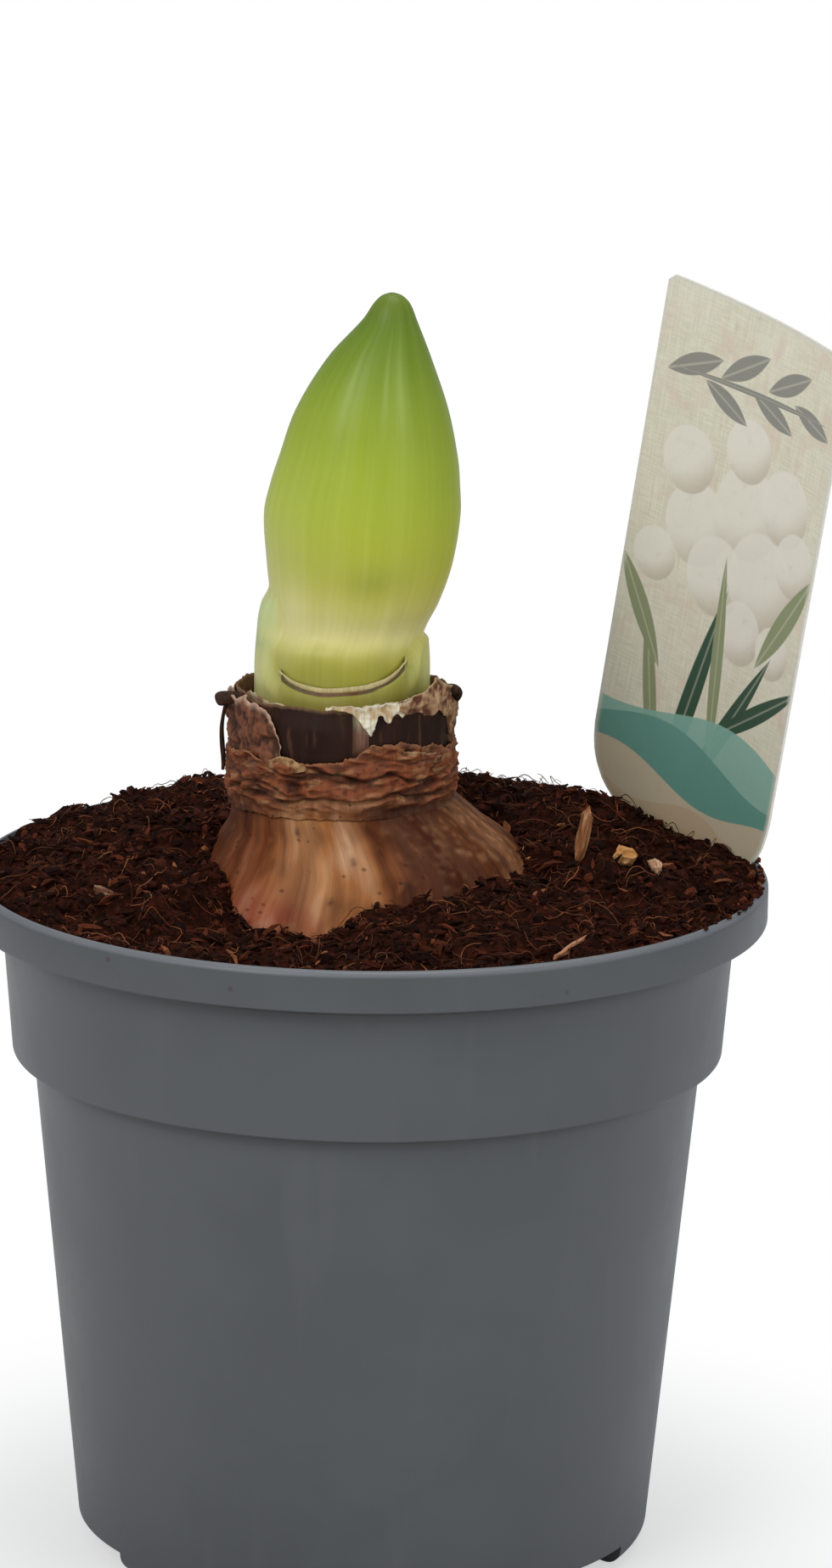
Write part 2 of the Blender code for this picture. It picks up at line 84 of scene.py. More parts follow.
def smoothAt(place, table):
    # a smooth line through rows of (place, amount, amount...)
    if place <= table[0][0]:
        return table[0][1:]
    if place >= table[-1][0]:
        return table[-1][1:]
    row = next(i for i in range(len(table) - 1) if place <= table[i + 1][0])
    start, end = table[row], table[row + 1]
    before, after = table[max(row - 1, 0)], table[min(row + 2, len(table) - 1)]
    span = end[0] - start[0]
    share = (place - start[0]) / span
    a = 2 * share ** 3 - 3 * share ** 2 + 1
    b = share ** 3 - 2 * share ** 2 + share
    c = 3 * share ** 2 - 2 * share ** 3
    d = share ** 3 - share ** 2
    found = []
    for k in range(1, len(start)):
        leave = (end[k] - before[k]) / max(end[0] - before[0], 1e-9) * span
        arrive = (after[k] - start[k]) / max(after[0] - start[0], 1e-9) * span
        found.append(a * start[k] + b * leave + c * end[k] + d * arrive)
    return tuple(found)


def between(place, table):
    # straight lines between rows of (place, amount)
    for (low, first), (high, second) in zip(table, table[1:]):
        if place <= high:
            return first + (second - first) * max(0.0, place - low) / (high - low)
    return table[-1][1]


def grain(point, size, seed):
    # smooth noise from -1 to 1 that changes over about size
    return noise.noise(Vector(point) / size + Vector((seed, 3.7 * seed, 1.3 * seed)))


def wrapAt(turn, height, reach=15 * mm):
    # a place wrapped round the plant, for grain and for the veins
    return (reach * math.sin(turn), -reach * math.cos(turn), height)


def skinGrain(turn, height, size, seed=0.0, reach=15 * mm):
    # grain on the wrapped plant, its size in mm
    return grain(wrapAt(turn, height, reach), size * mm, seed)


def edgeAt(turn, table):
    # the height of a rim or a lip at a turn, from rows of (degrees, mm)
    return smoothAt(halfTurn(turn), table)[0] * mm


def sectionsOf(node, highest=1.0):
    # (height, centre x, half width, half depth) of each ring of points in a turned CAD node
    levels = {}
    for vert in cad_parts[node].data.vertices:
        if vert.co.z <= highest:
            levels.setdefault(round(vert.co.z, 5), []).append(vert.co)
    rows = []
    for height in sorted(levels):
        xs = [co.x for co in levels[height]]
        ys = [co.y for co in levels[height]]
        if len(xs) >= 12:
            rows.append((height, (max(xs) + min(xs)) / 2, (max(xs) - min(xs)) / 2, (max(ys) - min(ys)) / 2))
    return rows


# colours are written as they look on a screen, from 0 to 255

def tone(red, green, blue):
    def linear(value):
        value = value / 255
        return value / 12.92 if value <= 0.04045 else ((value + 0.055) / 1.055) ** 2.4
    return (linear(red), linear(green), linear(blue), 1.0)


def blendTones(first, second, share):
    return tuple(a + (b - a) * share for a, b in zip(first, second))


def paint(first, spec, layers):
    # lays the piece's named colours over a first one, each by its share
    colour = tone(*first)
    for name, share in layers:
        if share:
            colour = blendTones(colour, tone(*spec[name]), share)
    return colour


# pieces

def linked(name, data):
    # a new object in the scene
    made = bpy.data.objects.new(name, data)
    bpy.context.scene.collection.objects.link(made)
    return made


def dress(name, mesh, slotName, replaced):
    # a finished mesh as a piece of the plant
    piece = linked(name, mesh)
    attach(piece, "root")
    if replaced:
        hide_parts(*replaced)
    return piece


def makePiece(name, points, faces, material, slotName, replaced=(), wrap=None, tint=None, shade=None,
              smooth=True):
    mesh = bpy.data.meshes.new(name)
    mesh.from_pydata([tuple(p) for p in points], [], faces)
    for label, kind, key, values in (
        ("wrap", "FLOAT_VECTOR", "vector", wrap),
        ("tint", "FLOAT_COLOR", "color", tint),
        ("shade", "FLOAT", "value", shade),
    ):
        if values is not None:
            flat = [part for value in values for part in value] if key != "value" else list(values)
            mesh.attributes.new(label, kind, "POINT").data.foreach_set(key, flat)
    if smooth:
        mesh.shade_smooth()
    mesh.materials.append(material)
    return dress(name, mesh, slotName, replaced)


def shifted(faces, first):
    # the same faces, on points that start at first
    return [tuple(first + i for i in face) for face in faces]


def gridFaces(rows, columns, closed):
    faces = []
    for row in range(rows - 1):
        for i in range(columns if closed else columns - 1):
            j = (i + 1) % columns
            low, high = row * columns, (row + 1) * columns
            faces.append((low + i, low + j, high + j, high + i))
    return faces


def shellFaces(rows, count, closed):
    # the front and the back of a thin grid, joined along all its edges
    size, last = (rows + 1) * count, rows * count
    faces = gridFaces(rows + 1, count, closed)
    faces += shifted([face[::-1] for face in faces], size)
    for i in range(count if closed else count - 1):
        j = (i + 1) % count
        faces.append((last + i, last + j, size + last + j, size + last + i))
        faces.append((j, i, size + i, size + j))
    if not closed:
        for row in range(rows):
            low, high = row * count, (row + 1) * count
            faces.append((high, low, size + low, size + high))
            low, high = low + count - 1, high + count - 1
            faces.append((low, high, size + high, size + low))
    return faces


def capFaces(points, first, columns, upwards):
    # closes a ring of points round a new point in its middle
    hub = len(points)
    points.append(sum(points[first:first + columns], Vector()) / columns)
    faces = []
    for i in range(columns):
        j = (i + 1) % columns
        faces.append((hub, first + i, first + j) if upwards else (hub, first + j, first + i))
    return faces


def bodyFaces(points, rows, columns):
    # the sides and both ends of a body made of rings
    faces = gridFaces(rows, columns, True)
    faces += capFaces(points, 0, columns, False)
    return faces + capFaces(points, (rows - 1) * columns, columns, True)


def makeBody(name, columns, heights, placeAt, tintAt, endTints, material, slotName, replaced):
    # a closed round body, painted by turn and height
    grid = [(turn, height) for height in heights for turn in fullTurn(columns)]
    points = [placeAt(turn, height) for turn, height in grid]
    wrap = [wrapAt(turn, height) for turn, height in grid]
    wrap += [(0.0, 0.0, heights[0]), (0.0, 0.0, heights[-1])]
    tint = [tintAt(turn, height) for turn, height in grid] + endTints
    faces = bodyFaces(points, len(heights), columns)
    makePiece(name, points, faces, material, slotName, replaced, wrap, tint)


def tubeInto(points, faces, path, radii, sides):
    # adds a closed tube along a path to a list of points and faces
    first, last = len(points), (len(path) - 1) * sides
    side = Vector((0.3, 0.5, 0.8))
    for i, place in enumerate(path):
        ahead = path[min(i + 1, len(path) - 1)] - path[max(i - 1, 0)]
        ahead.normalize()
        across = ahead.cross(side).normalized()
        upward = across.cross(ahead)
        for angle in fullTurn(sides):
            points.append(place + (across * math.cos(angle) + upward * math.sin(angle)) * radii[i])
    ends = [tuple(reversed(range(sides))), tuple(range(last, last + sides))]
    faces += shifted(gridFaces(len(path), sides, True) + ends, first)
    return sides * len(path)


# materials

def newMaterial(name, roughness, **constants):
    material = bpy.data.materials.new(name)
    material.use_nodes = True
    tree = material.node_tree
    shader = tree.nodes["Principled BSDF"]
    shader.inputs["Roughness"].default_value = roughness
    for socket, value in constants.items():
        shader.inputs[socket.replace("_", " ")].default_value = value
    return material, tree, shader


def put(tree, kind, values=None, **settings):
    # a new node; a value is a number, a vector, a colour or another node's socket
    node = tree.nodes.new(kind)
    for name, value in settings.items():
        setattr(node, name, value)
    for socket, value in (values or {}).items():
        if isinstance(value, bpy.types.NodeSocket):
            tree.links.new(value, node.inputs[socket])
        else:
            node.inputs[socket].default_value = value
    return node


def mathOf(tree, operation, first, second=0.0, third=0.0):
    return put(tree, "ShaderNodeMath", {0: first, 1: second, 2: third}, operation=operation).outputs[0]


def times(tree, first, second):
    return mathOf(tree, "MULTIPLY", first, second)


def vectorOf(tree, operation, first, second=None, output=0):
    values = {0: first} if second is None else {0: first, 1: second}
    return put(tree, "ShaderNodeVectorMath", values, operation=operation).outputs[output]


def mixOf(tree, share, first, second, way="MIX"):
    # a colour is a socket, or red, green and blue from 0 to 255
    first, second = (tone(*side) if isinstance(side, tuple) else side for side in (first, second))
    node = put(tree, "ShaderNodeMix", {0: share, 6: first, 7: second}, data_type="RGBA", blend_type=way)
    return node.outputs[2]


def layered(tree, colour, spec, layers):
    # lays the piece's named colours over one another in a material, each by its share
    for name, share in layers:
        colour = mixOf(tree, share, colour, spec[name])
    return colour


def rangeOf(tree, value, low, high, toLow=0.0, toHigh=1.0):
    values = {"Value": value, "From Min": low, "From Max": high, "To Min": toLow, "To Max": toHigh}
    return put(tree, "ShaderNodeMapRange", values, interpolation_type="SMOOTHSTEP").outputs[0]


def attributeOf(tree, name, output="Vector"):
    return put(tree, "ShaderNodeAttribute", attribute_name=name).outputs[output]


def ownPlace(tree):
    return put(tree, "ShaderNodeTexCoord").outputs["Object"]


def partsOf(tree, vector):
    return put(tree, "ShaderNodeSeparateXYZ", {0: vector}).outputs


def stretched(tree, vector, scale):
    return put(tree, "ShaderNodeMapping", {"Vector": vector, "Scale": scale}).outputs[0]


def noiseOf(tree, vector, scale, detail, roughness, distortion=0.0):
    values = {"Vector": vector, "Scale": scale, "Detail": detail, "Roughness": roughness}
    values["Distortion"] = distortion
    return put(tree, "ShaderNodeTexNoise", values).outputs["Fac"]


def finished(made, colour, height=None, distance=0.0, strength=1.0):
    # joins the colour, and a bump if there is one, to a new material's shader
    material, tree, shader = made
    tree.links.new(colour, shader.inputs["Base Color"])
    if height is not None:
        bump = put(tree, "ShaderNodeBump", {"Height": height, "Distance": distance, "Strength": strength})
        tree.links.new(bump.outputs[0], shader.inputs["Normal"])
    return material


def newGroup(name, inputs, outputs):
    # an input without a value is a vector; the other inputs and every output are numbers
    group = bpy.data.node_groups.new(name, "ShaderNodeTree")
    for label, value in inputs.items():
        kind = "NodeSocketVector" if value is None else "NodeSocketFloat"
        socket = group.interface.new_socket(label, in_out="INPUT", socket_type=kind)
        if value is not None:
            socket.default_value = value
    for label in outputs:
        group.interface.new_socket(label, in_out="OUTPUT", socket_type="NodeSocketFloat")
    return group, group.nodes.new("NodeGroupInput").outputs, group.nodes.new("NodeGroupOutput").inputs


def useGroup(tree, group, values):
    return put(tree, "ShaderNodeGroup", values, node_tree=group).outputs


def makeVeinGroup():
    # fine lines that run up a plant part, from its wrapped place; Fine and Broad go from 0 to 1
    group, given, made = newGroup(
        "veins", {"Wrap": None, "Fineness": 900.0, "Stretch": 0.05}, ("Fine", "Broad"))
    split = partsOf(group, given["Wrap"])
    drawn = times(group, split["Z"], given["Stretch"])
    lines = put(group, "ShaderNodeCombineXYZ", {"X": split["X"], "Y": split["Y"], "Z": drawn}).outputs[0]
    fine = noiseOf(group, lines, given["Fineness"], 4.0, 0.6)
    coarse = times(group, given["Fineness"], 0.28)
    broad = noiseOf(group, lines, coarse, 2.0, 0.5)
    group.links.new(rangeOf(group, fine, 0.32, 0.68), made["Fine"])
    group.links.new(rangeOf(group, broad, 0.35, 0.65), made["Broad"])
    return group


def makeSpeckGroup():
    # scattered small spots: Mask is 1 in a spot
    group, given, made = newGroup(
        "specks", {"Vector": None, "Spacing": 300.0, "Share": 0.2, "Size": 0.25}, ("Mask",))
    cells = put(group, "ShaderNodeTexVoronoi", {"Vector": given["Vector"], "Scale": given["Spacing"]})
    chosen = put(group, "ShaderNodeSeparateColor", {0: cells.outputs["Color"]}).outputs[0]
    picked = mathOf(group, "LESS_THAN", chosen, given["Share"])
    half = times(group, given["Size"], 0.5)
    spot = put(group, "ShaderNodeMapRange", {
        "Value": cells.outputs["Distance"], "From Min": half, "From Max": given["Size"],
        "To Min": 1.0, "To Max": 0.0,
    }).outputs[0]
    group.links.new(times(group, picked, spot), made["Mask"])
    return group


def makeMottleGroup():
    # soft uneven patches and a fine tooth; both go from 0 to 1
    group, given, made = newGroup(
        "mottle", {"Vector": None, "Patch": 60.0, "Tooth": 2500.0}, ("Patches", "Tooth"))
    patches = noiseOf(group, given["Vector"], given["Patch"], 4.0, 0.55, 0.3)
    tooth = noiseOf(group, given["Vector"], given["Tooth"], 2.0, 0.6)
    group.links.new(rangeOf(group, patches, 0.3, 0.7), made["Patches"])
    group.links.new(tooth, made["Tooth"])
    return group


veins = makeVeinGroup()
specks = makeSpeckGroup()
mottle = makeMottleGroup()


# camera, lights and floor

camera = {
    "distance": 1.0,  # metres from the middle of the pot's rim
    "rise": 14.04,  # degrees above it
    "down": 13.233,  # degrees that it looks down
    "aside": 0.44,  # degrees that it looks to the right
    "roll": 0.7,  # degrees
    "lens": 140.8,  # mm
}


def makeCamera():
    rise, down, aside, roll = (math.radians(camera[key]) for key in ("rise", "down", "aside", "roll"))
    rim = Vector((0.0, 0.0, rimTop))
    ahead = Vector((math.sin(aside) * math.cos(down), math.cos(aside) * math.cos(down), -math.sin(down)))
    level = Vector((math.cos(aside), -math.sin(aside), 0.0))
    above = level.cross(ahead)
    right = level * math.cos(roll) + above * math.sin(roll)
    up = above * math.cos(roll) - level * math.sin(roll)
    data = bpy.data.cameras.new("camera")
    data.lens = camera["lens"]
    data.clip_start = 0.05
    made = linked("camera", data)
    turned = Matrix((right, up, -ahead)).transposed().to_4x4()
    place = rim + Vector((0.0, -math.cos(rise), math.sin(rise))) * camera["distance"]
    made.matrix_world = Matrix.Translation(place) @ turned
    bpy.context.scene.camera = made


studio = {
    "world": 0.42,
    "aim": (0.0, 0.0, 0.11),
    "floorRadius": 6.0,
    "floorHeight": -0.2 * mm,
    "floorFade": (0.05, 0.12),  # how far out it starts and ends
    "lamps": [
        # name, place, width, power, colour
        ("keyLamp", (-0.75, -1.05, 1.05), 0.8, 8.2, (1.0, 0.985, 0.96)),
        ("fillLamp", (1.1, -0.9, 0.7), 0.9, 3.9, (0.98, 0.99, 1.0)),
        ("topLamp", (0.1, 0.25, 1.5), 0.9, 6.4, (1.0, 1.0, 1.0)),
    ],
}


def makeStudio():
    scene = bpy.context.scene
    scene.view_settings.view_transform = "Standard"
    world = bpy.data.worlds.new("studio")
    scene.world = world
    world.use_nodes = True
    tree = world.node_tree
    soft = tree.nodes["Background"]
    soft.inputs["Color"].default_value = (0.93, 0.97, 1.0, 1.0)
    soft.inputs["Strength"].default_value = studio["world"]
    white = put(tree, "ShaderNodeBackground", {"Color": (1.0, 1.0, 1.0, 1.0), "Strength": 1.0})
    seen = put(tree, "ShaderNodeLightPath").outputs["Is Camera Ray"]
    both = put(tree, "ShaderNodeMixShader", {0: seen, 1: soft.outputs[0], 2: white.outputs[0]})
    tree.links.new(both.outputs[0], tree.nodes["World Output"].inputs["Surface"])
    for name, place, width, power, colour in studio["lamps"]:
        data = bpy.data.lights.new(name, "AREA")
        data.shape = "DISK"
        data.size = width
        data.energy = power
        data.color = colour
        lamp = linked(name, data)
        lamp.location = place
        lamp.rotation_euler = (Vector(studio["aim"]) - Vector(place)).to_track_quat("-Z", "Y").to_euler()


def makeFloor():
    # white paper; the camera sees it fade into the white behind it, and it keeps the pot's shadow
    material, tree, shader = newMaterial("floorPaper", 0.95, Specular_IOR_Level=0.0)
    shader.inputs["Base Color"].default_value = (0.96, 0.96, 0.96, 1.0)
    away = vectorOf(tree, "LENGTH", ownPlace(tree), output="Value")
    white = put(tree, "ShaderNodeEmission", {"Color": (1.0, 1.0, 1.0, 1.0), "Strength": 1.0})
    seen = put(tree, "ShaderNodeLightPath").outputs["Is Camera Ray"]
    share = times(tree, rangeOf(tree, away, *studio["floorFade"], 0.55, 1.0), seen)
    both = put(tree, "ShaderNodeMixShader", {0: share, 1: shader.outputs[0], 2: white.outputs[0]})
    tree.links.new(both.outputs[0], tree.nodes["Material Output"].inputs["Surface"])
    bpy.ops.mesh.primitive_circle_add(
        vertices=96, radius=studio["floorRadius"], fill_type="NGON", location=(0, 0, studio["floorHeight"]))
    floor = bpy.context.object
    floor.name = "floor"
    floor.data.materials.append(material)


makeCamera()
makeStudio()
makeFloor()
print("camera, lights and floor made")


# pot

pot = {
    "steps": 180,
    "wall": 1.3 * mm,
    "rimEdge": 1.2 * mm,
    "rimBand": 6.9 * mm,
    "collarTop": 59.8 * mm,
    "collarLow": (58.1 * mm, 82.6 * mm),  # radius, height
    "bodyTop": 54.7 * mm,
    "stepRound": 0.7 * mm,
    "stepRise": 0.5 * mm,
    "bodyLow": 47.3 * mm,
    "footRound": 3.2 * mm,
    "footHeight": 3.5 * mm,
    "footInner": 42.5 * mm,
    "centrePad": 13.0 * mm,
    "gaps": 6,
    "gapWidth": 27.0 * mm,
    "firstGap": math.radians(47.0),
    "drain": (34.0 * mm, 4.0 * mm),  # distance out, radius
    "grey": (74, 77, 81),
    "paleGrey": (80, 83, 86),
    "flowMark": (88, 90, 92),
    "soilStain": (70, 52, 44),
    "stainHeights": (98 * mm, 113 * mm),  # where it starts and where it is full
    # painted shade below the rim and the collar
    "cornerShade": (34, 35, 35),
    "rimHighlight": (122, 126, 132),
    "shadedCorners": [(4.6 * mm, 0.88), (3.4 * mm, 0.62)],  # reach below the rim and the collar, strength
}


def arc(centre, across, up, start, end, steps):
    # points (radius, height) round a corner, from one angle to another
    turns = [math.radians(start + (end - start) * i / steps) for i in range(steps + 1)]
    return [(centre[0] + across * math.cos(turn), centre[1] + up * math.sin(turn)) for turn in turns]


def potProfile():
    wall, edge, step, rise = pot["wall"], pot["rimEdge"], pot["stepRound"], pot["stepRise"]
    rimLow = rimTop - pot["rimBand"]
    floorTop = pot["footHeight"] + 1.2 * mm
    collarRadius, collarHeight = pot["collarLow"]
    shelf = wall + rise
    nook = 0.5 * mm  # rounding where a step meets the wall below it
    inside = [
        (0.0, floorTop),
        (pot["bodyLow"] - wall - 1.6 * mm, floorTop),
        (pot["bodyLow"] - wall, floorTop + 1.6 * mm),
        (pot["bodyTop"] - wall, collarHeight + shelf),
        (collarRadius - wall, collarHeight + shelf + 0.3 * mm),
        (pot["collarTop"] - wall, rimLow + shelf),
        (rimRadius - wall, rimLow + shelf + 0.3 * mm),
        (rimRadius - wall, rimTop - 0.1 * mm),
        (rimRadius - wall + 0.05 * mm, rimTop),
    ]
    outside = arc((rimRadius - edge, rimTop - edge), edge, edge, 90, 0, 6)
    rimStep = (rimRadius, rimLow, pot["collarTop"])
    collarStep = (collarRadius, collarHeight, pot["bodyTop"])
    for radius, low, below in (rimStep, collarStep):
        outside += arc((radius - step, low + step), step, step, 0, -90, 6)
        outside += arc((below + nook, low + rise - nook), nook, nook, 90, 180, 4)
    foot = pot["footRound"]
    outside += arc((pot["bodyLow"] - foot, foot), foot, foot, 0, -90, 10)
    pad = pot["centrePad"]
    under = [
        (pot["footInner"], 0.0),
        (pot["footInner"] - 0.5 * mm, pot["footHeight"]),
        (pad + 1.5 * mm, pot["footHeight"]),
        (pad, 0.0),
        (0.0, 0.0),
    ]
    return inside + outside + under


def potPlastic():
    made = newMaterial("potPlastic", 0.46, Specular_IOR_Level=0.5)
    _, tree, shader = made
    place = ownPlace(tree)
    height = partsOf(tree, place)["Z"]
    uneven = useGroup(tree, mottle, {"Vector": place, "Patch": 45.0, "Tooth": 2600.0})
    colour = mixOf(tree, uneven["Patches"], pot["grey"], pot["paleGrey"])
    flow = noiseOf(tree, stretched(tree, place, (1.0, 1.0, 0.12)), 160.0, 3.0, 0.5)
    dust = useGroup(tree, specks, {"Vector": place, "Spacing": 520.0, "Share": 0.06, "Size": 0.3})["Mask"]
    nearRim = rangeOf(tree, height, *pot["stainHeights"])
    uneasy = mathOf(tree, "MULTIPLY_ADD", noiseOf(tree, place, 60.0, 3.0, 0.5), 0.6, 0.7)
    layers = [
        ("flowMark", rangeOf(tree, flow, 0.55, 0.75, 0.0, 0.25)),
        ("soilStain", times(tree, dust, nearRim)),
    ]
    # painted shade just below the rim and the collar, where their overhangs shade the wall, strongest at each
    # corner and made uneven by noise
    corners = (rimTop - pot["rimBand"], pot["collarLow"][1])
    for corner, (reach, strength) in zip(corners, pot["shadedCorners"]):
        below = mathOf(tree, "POWER", rangeOf(tree, height, corner - reach, corner), 1.6)
        above = rangeOf(tree, height, corner + 0.35 * mm, corner + 0.6 * mm, strength, 0.0)
        layers.append(("cornerShade", times(tree, times(tree, below, above), uneasy)))
    # a painted highlight along the top edge of the rim, made uneven by noise
    edge = rangeOf(tree, height, rimTop - 1.1 * mm, rimTop - 0.4 * mm, 0.0, 0.6)
    layers.append(("rimHighlight", times(tree, edge, uneasy)))
    rough = mathOf(tree, "MULTIPLY_ADD", uneven["Patches"], 0.10, 0.40)
    tree.links.new(rough, shader.inputs["Roughness"])
    return finished(made, layered(tree, colour, pot, layers), uneven["Tooth"], 0.00004, 0.5)


def makePot():
    profile = potProfile()
    mesh = bpy.data.meshes.new("potBody")
    mesh.from_pydata([(r, 0.0, z) for r, z in profile], [], [(i, i + 1) for i in range(len(profile) - 1)])
    body = linked("potBody", mesh)
    screw = body.modifiers.new("turn", "SCREW")
    screw.steps = pot["steps"]
    screw.render_steps = pot["steps"]
    screw.use_merge_vertices = True
    screw.merge_threshold = 0.00001
    cutters = []
    for k in range(pot["gaps"]):
        turn = pot["firstGap"] + 2 * math.pi * k / pot["gaps"]
        bpy.ops.mesh.primitive_cube_add(size=1.0, location=around(turn, pot["bodyLow"] - 1 * mm, 0.0))
        gap = bpy.context.object
        gap.scale = (pot["gapWidth"], 14 * mm, 2 * pot["footHeight"])
        gap.rotation_euler.z = turn
        out, radius = pot["drain"]
        bpy.ops.mesh.primitive_cylinder_add(
            vertices=40, radius=radius, depth=14 * mm, location=around(turn, out, pot["footHeight"]))
        cutters += [gap, bpy.context.object]
    for cutter in cutters:
        cut = body.modifiers.new("cut", "BOOLEAN")
        cut.object = cutter
        cut.solver = "EXACT"
    bpy.context.view_layer.update()
    made = bpy.data.meshes.new_from_object(body.evaluated_get(bpy.context.evaluated_depsgraph_get()))
    for used in cutters + [body]:
        bpy.data.objects.remove(used)
    made.shade_smooth()
    made.set_sharp_from_angle(angle=math.radians(38))
    made.materials.clear()
    made.materials.append(potPlastic())
    dress("nurseryPot", made, "pot_plastic", ["pot"])


makePot()
print("pot made")


# potting mix

soil = {
    "columns": 330,
    "rings": 92,
    "sideTop": 104.5 * mm,
    "lumps": ((8.0 * mm, 1.6 * mm), (3.4 * mm, 1.4 * mm), (1.3 * mm, 0.5 * mm)),  # size, height
    "lowest": 103.0 * mm,  # no loose bit lies below this height
    "crumbs": 4100,
    "crumbReach": 62.6 * mm,
    "crumbSizes": (0.22 * mm, 1.15 * mm),
    "slivers": 5300,
    "sliverReach": 62.4 * mm,
    "sliverSizes": (0.9 * mm, 4.6 * mm),
    "bulbSlivers": 420,
    "bulbReach": 36 * mm,
    "fibres": 1100,
    "fibreReach": 61.5 * mm,
    "fibreSteps": 10,
    "fibreEnd": 62.8 * mm,  # a fibre stops before the pot's wall
    "rimCrumbs": 110,
    "rimCrumbTurns": (52, 104),  # degrees round from the front
    "crack": (18, 7, 5),
    "dark": (29, 9, 4),
    "middle": (60, 25, 14),
    "light": (96, 46, 28),
    "straw": (160, 100, 64),
    "fibreDark": (50, 20, 11),
    "fibreLight": (160, 98, 60),
}


def treeOf(*names):
    points, faces = [], []
    for name in names:
        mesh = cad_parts[name].data
        faces += shifted([face.vertices for face in mesh.polygons], len(points))
        points += [vert.co.copy() for vert in mesh.vertices]
    return BVHTree.FromPolygons(points, faces)


soilTree = treeOf("soil")
plantTree = treeOf("bulb", "wrinkled_outer_tunic")


def bedHeight(x, y):
    # the top of the plain mix below a place, or None off its edge
    hit = soilTree.ray_cast(Vector((x, y, 0.15)), Vector((0, 0, -1)))[0]
    return hit.z if hit else None


def soilHeight(x, y):
    # the same with its lumps
    found = bedHeight(x, y)
    if found is not None:
        found += sum(height * grain((x, y, 0.0), size, 5.0) for size, height in soil["lumps"])
    return found


def mixMaterial():
    made = newMaterial("pottingMix", 0.9, Specular_IOR_Level=0.06)
    tree = made[1]
    place = ownPlace(tree)
    coarse = noiseOf(tree, place, 420.0, 4.0, 0.65)
    fine = noiseOf(tree, place, 1900.0, 3.0, 0.7)
    colour = mixOf(tree, rangeOf(tree, coarse, 0.4, 0.68), soil["dark"], soil["middle"])
    colour = mixOf(tree, rangeOf(tree, fine, 0.58, 0.74, 0.0, 0.8), colour, soil["light"])
    return finished(made, colour, fine, 0.0005, 0.9)


def crumbMaterial():
    made = newMaterial("mixCrumbs", 0.8, Specular_IOR_Level=0.08)
    tree = made[1]
    shade = attributeOf(tree, "shade", "Fac")
    fine = noiseOf(tree, ownPlace(tree), 2600.0, 2.0, 0.6)
    colour = mixOf(tree, rangeOf(tree, shade, 0.0, 0.45), soil["dark"], soil["middle"])
    colour = layered(tree, colour, soil, [
        ("light", rangeOf(tree, shade, 0.5, 0.88)),
        ("straw", rangeOf(tree, shade, 0.93, 1.0)),
        ("crack", rangeOf(tree, fine, 0.3, 0.6, 0.5, 0.0)),
    ])
    return finished(made, colour, fine, 0.0002, 0.8)


def fibreMaterial():
    made = newMaterial("coirFibre", 0.6, Specular_IOR_Level=0.15)
    tree = made[1]
    shade = attributeOf(tree, "shade", "Fac")
    return finished(made, mixOf(tree, shade, soil["fibreDark"], soil["fibreLight"]))


def makeSoil():
    side = [(z, (width + depth) / 2) for z, _, width, depth in sectionsOf("soil", soil["sideTop"])]
    columns, rings = soil["columns"], soil["rings"]
    turns = fullTurn(columns)
    wall = rimRadius - pot["wall"] - 0.2 * mm
    shelf = rimTop - pot["rimBand"] + pot["wall"] + pot["stepRise"]
    side += [(shelf - 0.1 * mm, side[-1][1]), (shelf + 0.5 * mm, wall)]
    points = [around(turn, radius, height) for height, radius in side for turn in turns]
    edge = [soilHeight(*around(turn, wall - 0.4 * mm, 0.0).xy) for turn in turns]
    for ring in range(rings):
        for i, turn in enumerate(turns):
            spot = around(turn, wall * (1 - ring / rings), 0.0)
            height = edge[i] if ring == 0 else soilHeight(spot.x, spot.y)
            spot.z = edge[i] if height is None else height
            points.append(spot)
    faces = bodyFaces(points, len(side) + rings, columns)
    makePiece("pottingMix", points, faces, mixMaterial(), "potting_mix", ["soil"])


def freeSpot(chance, reach):
    # a random place on the mix that is clear of the bulb
    while True:
        turn = chance.uniform(0, 2 * math.pi)
        spot = around(turn, reach * math.sqrt(chance.random()), 0.0)
        height = soilHeight(spot.x, spot.y)
        if height is None or height < soil["lowest"]:
            continue
        spot.z = height
        if plantTree.find_nearest(spot, 0.4 * mm)[0] is None:
            return spot


def lumpInto(points, faces, shell, place, sizes, spin, chance):
    # adds a rough lump, turned by spin
    corners, sides = shell
    faces += shifted(sides, len(points))
    for corner in corners:
        lump = Vector([part * size for part, size in zip(corner, sizes)])
        points.append(place + spin @ (lump * chance.uniform(0.7, 1.3)))
    return len(corners)


def ballShell(level):
    ball = bmesh.new()
    bmesh.ops.create_icosphere(ball, subdivisions=level, radius=1.0)
    corners = [vert.co.copy() for vert in ball.verts]
    sides = [[vert.index for vert in face.verts] for face in ball.faces]
    ball.free()
    return corners, sides


def anySpin(chance):
    return Euler([chance.uniform(0, 2 * math.pi) for _ in range(3)]).to_matrix()


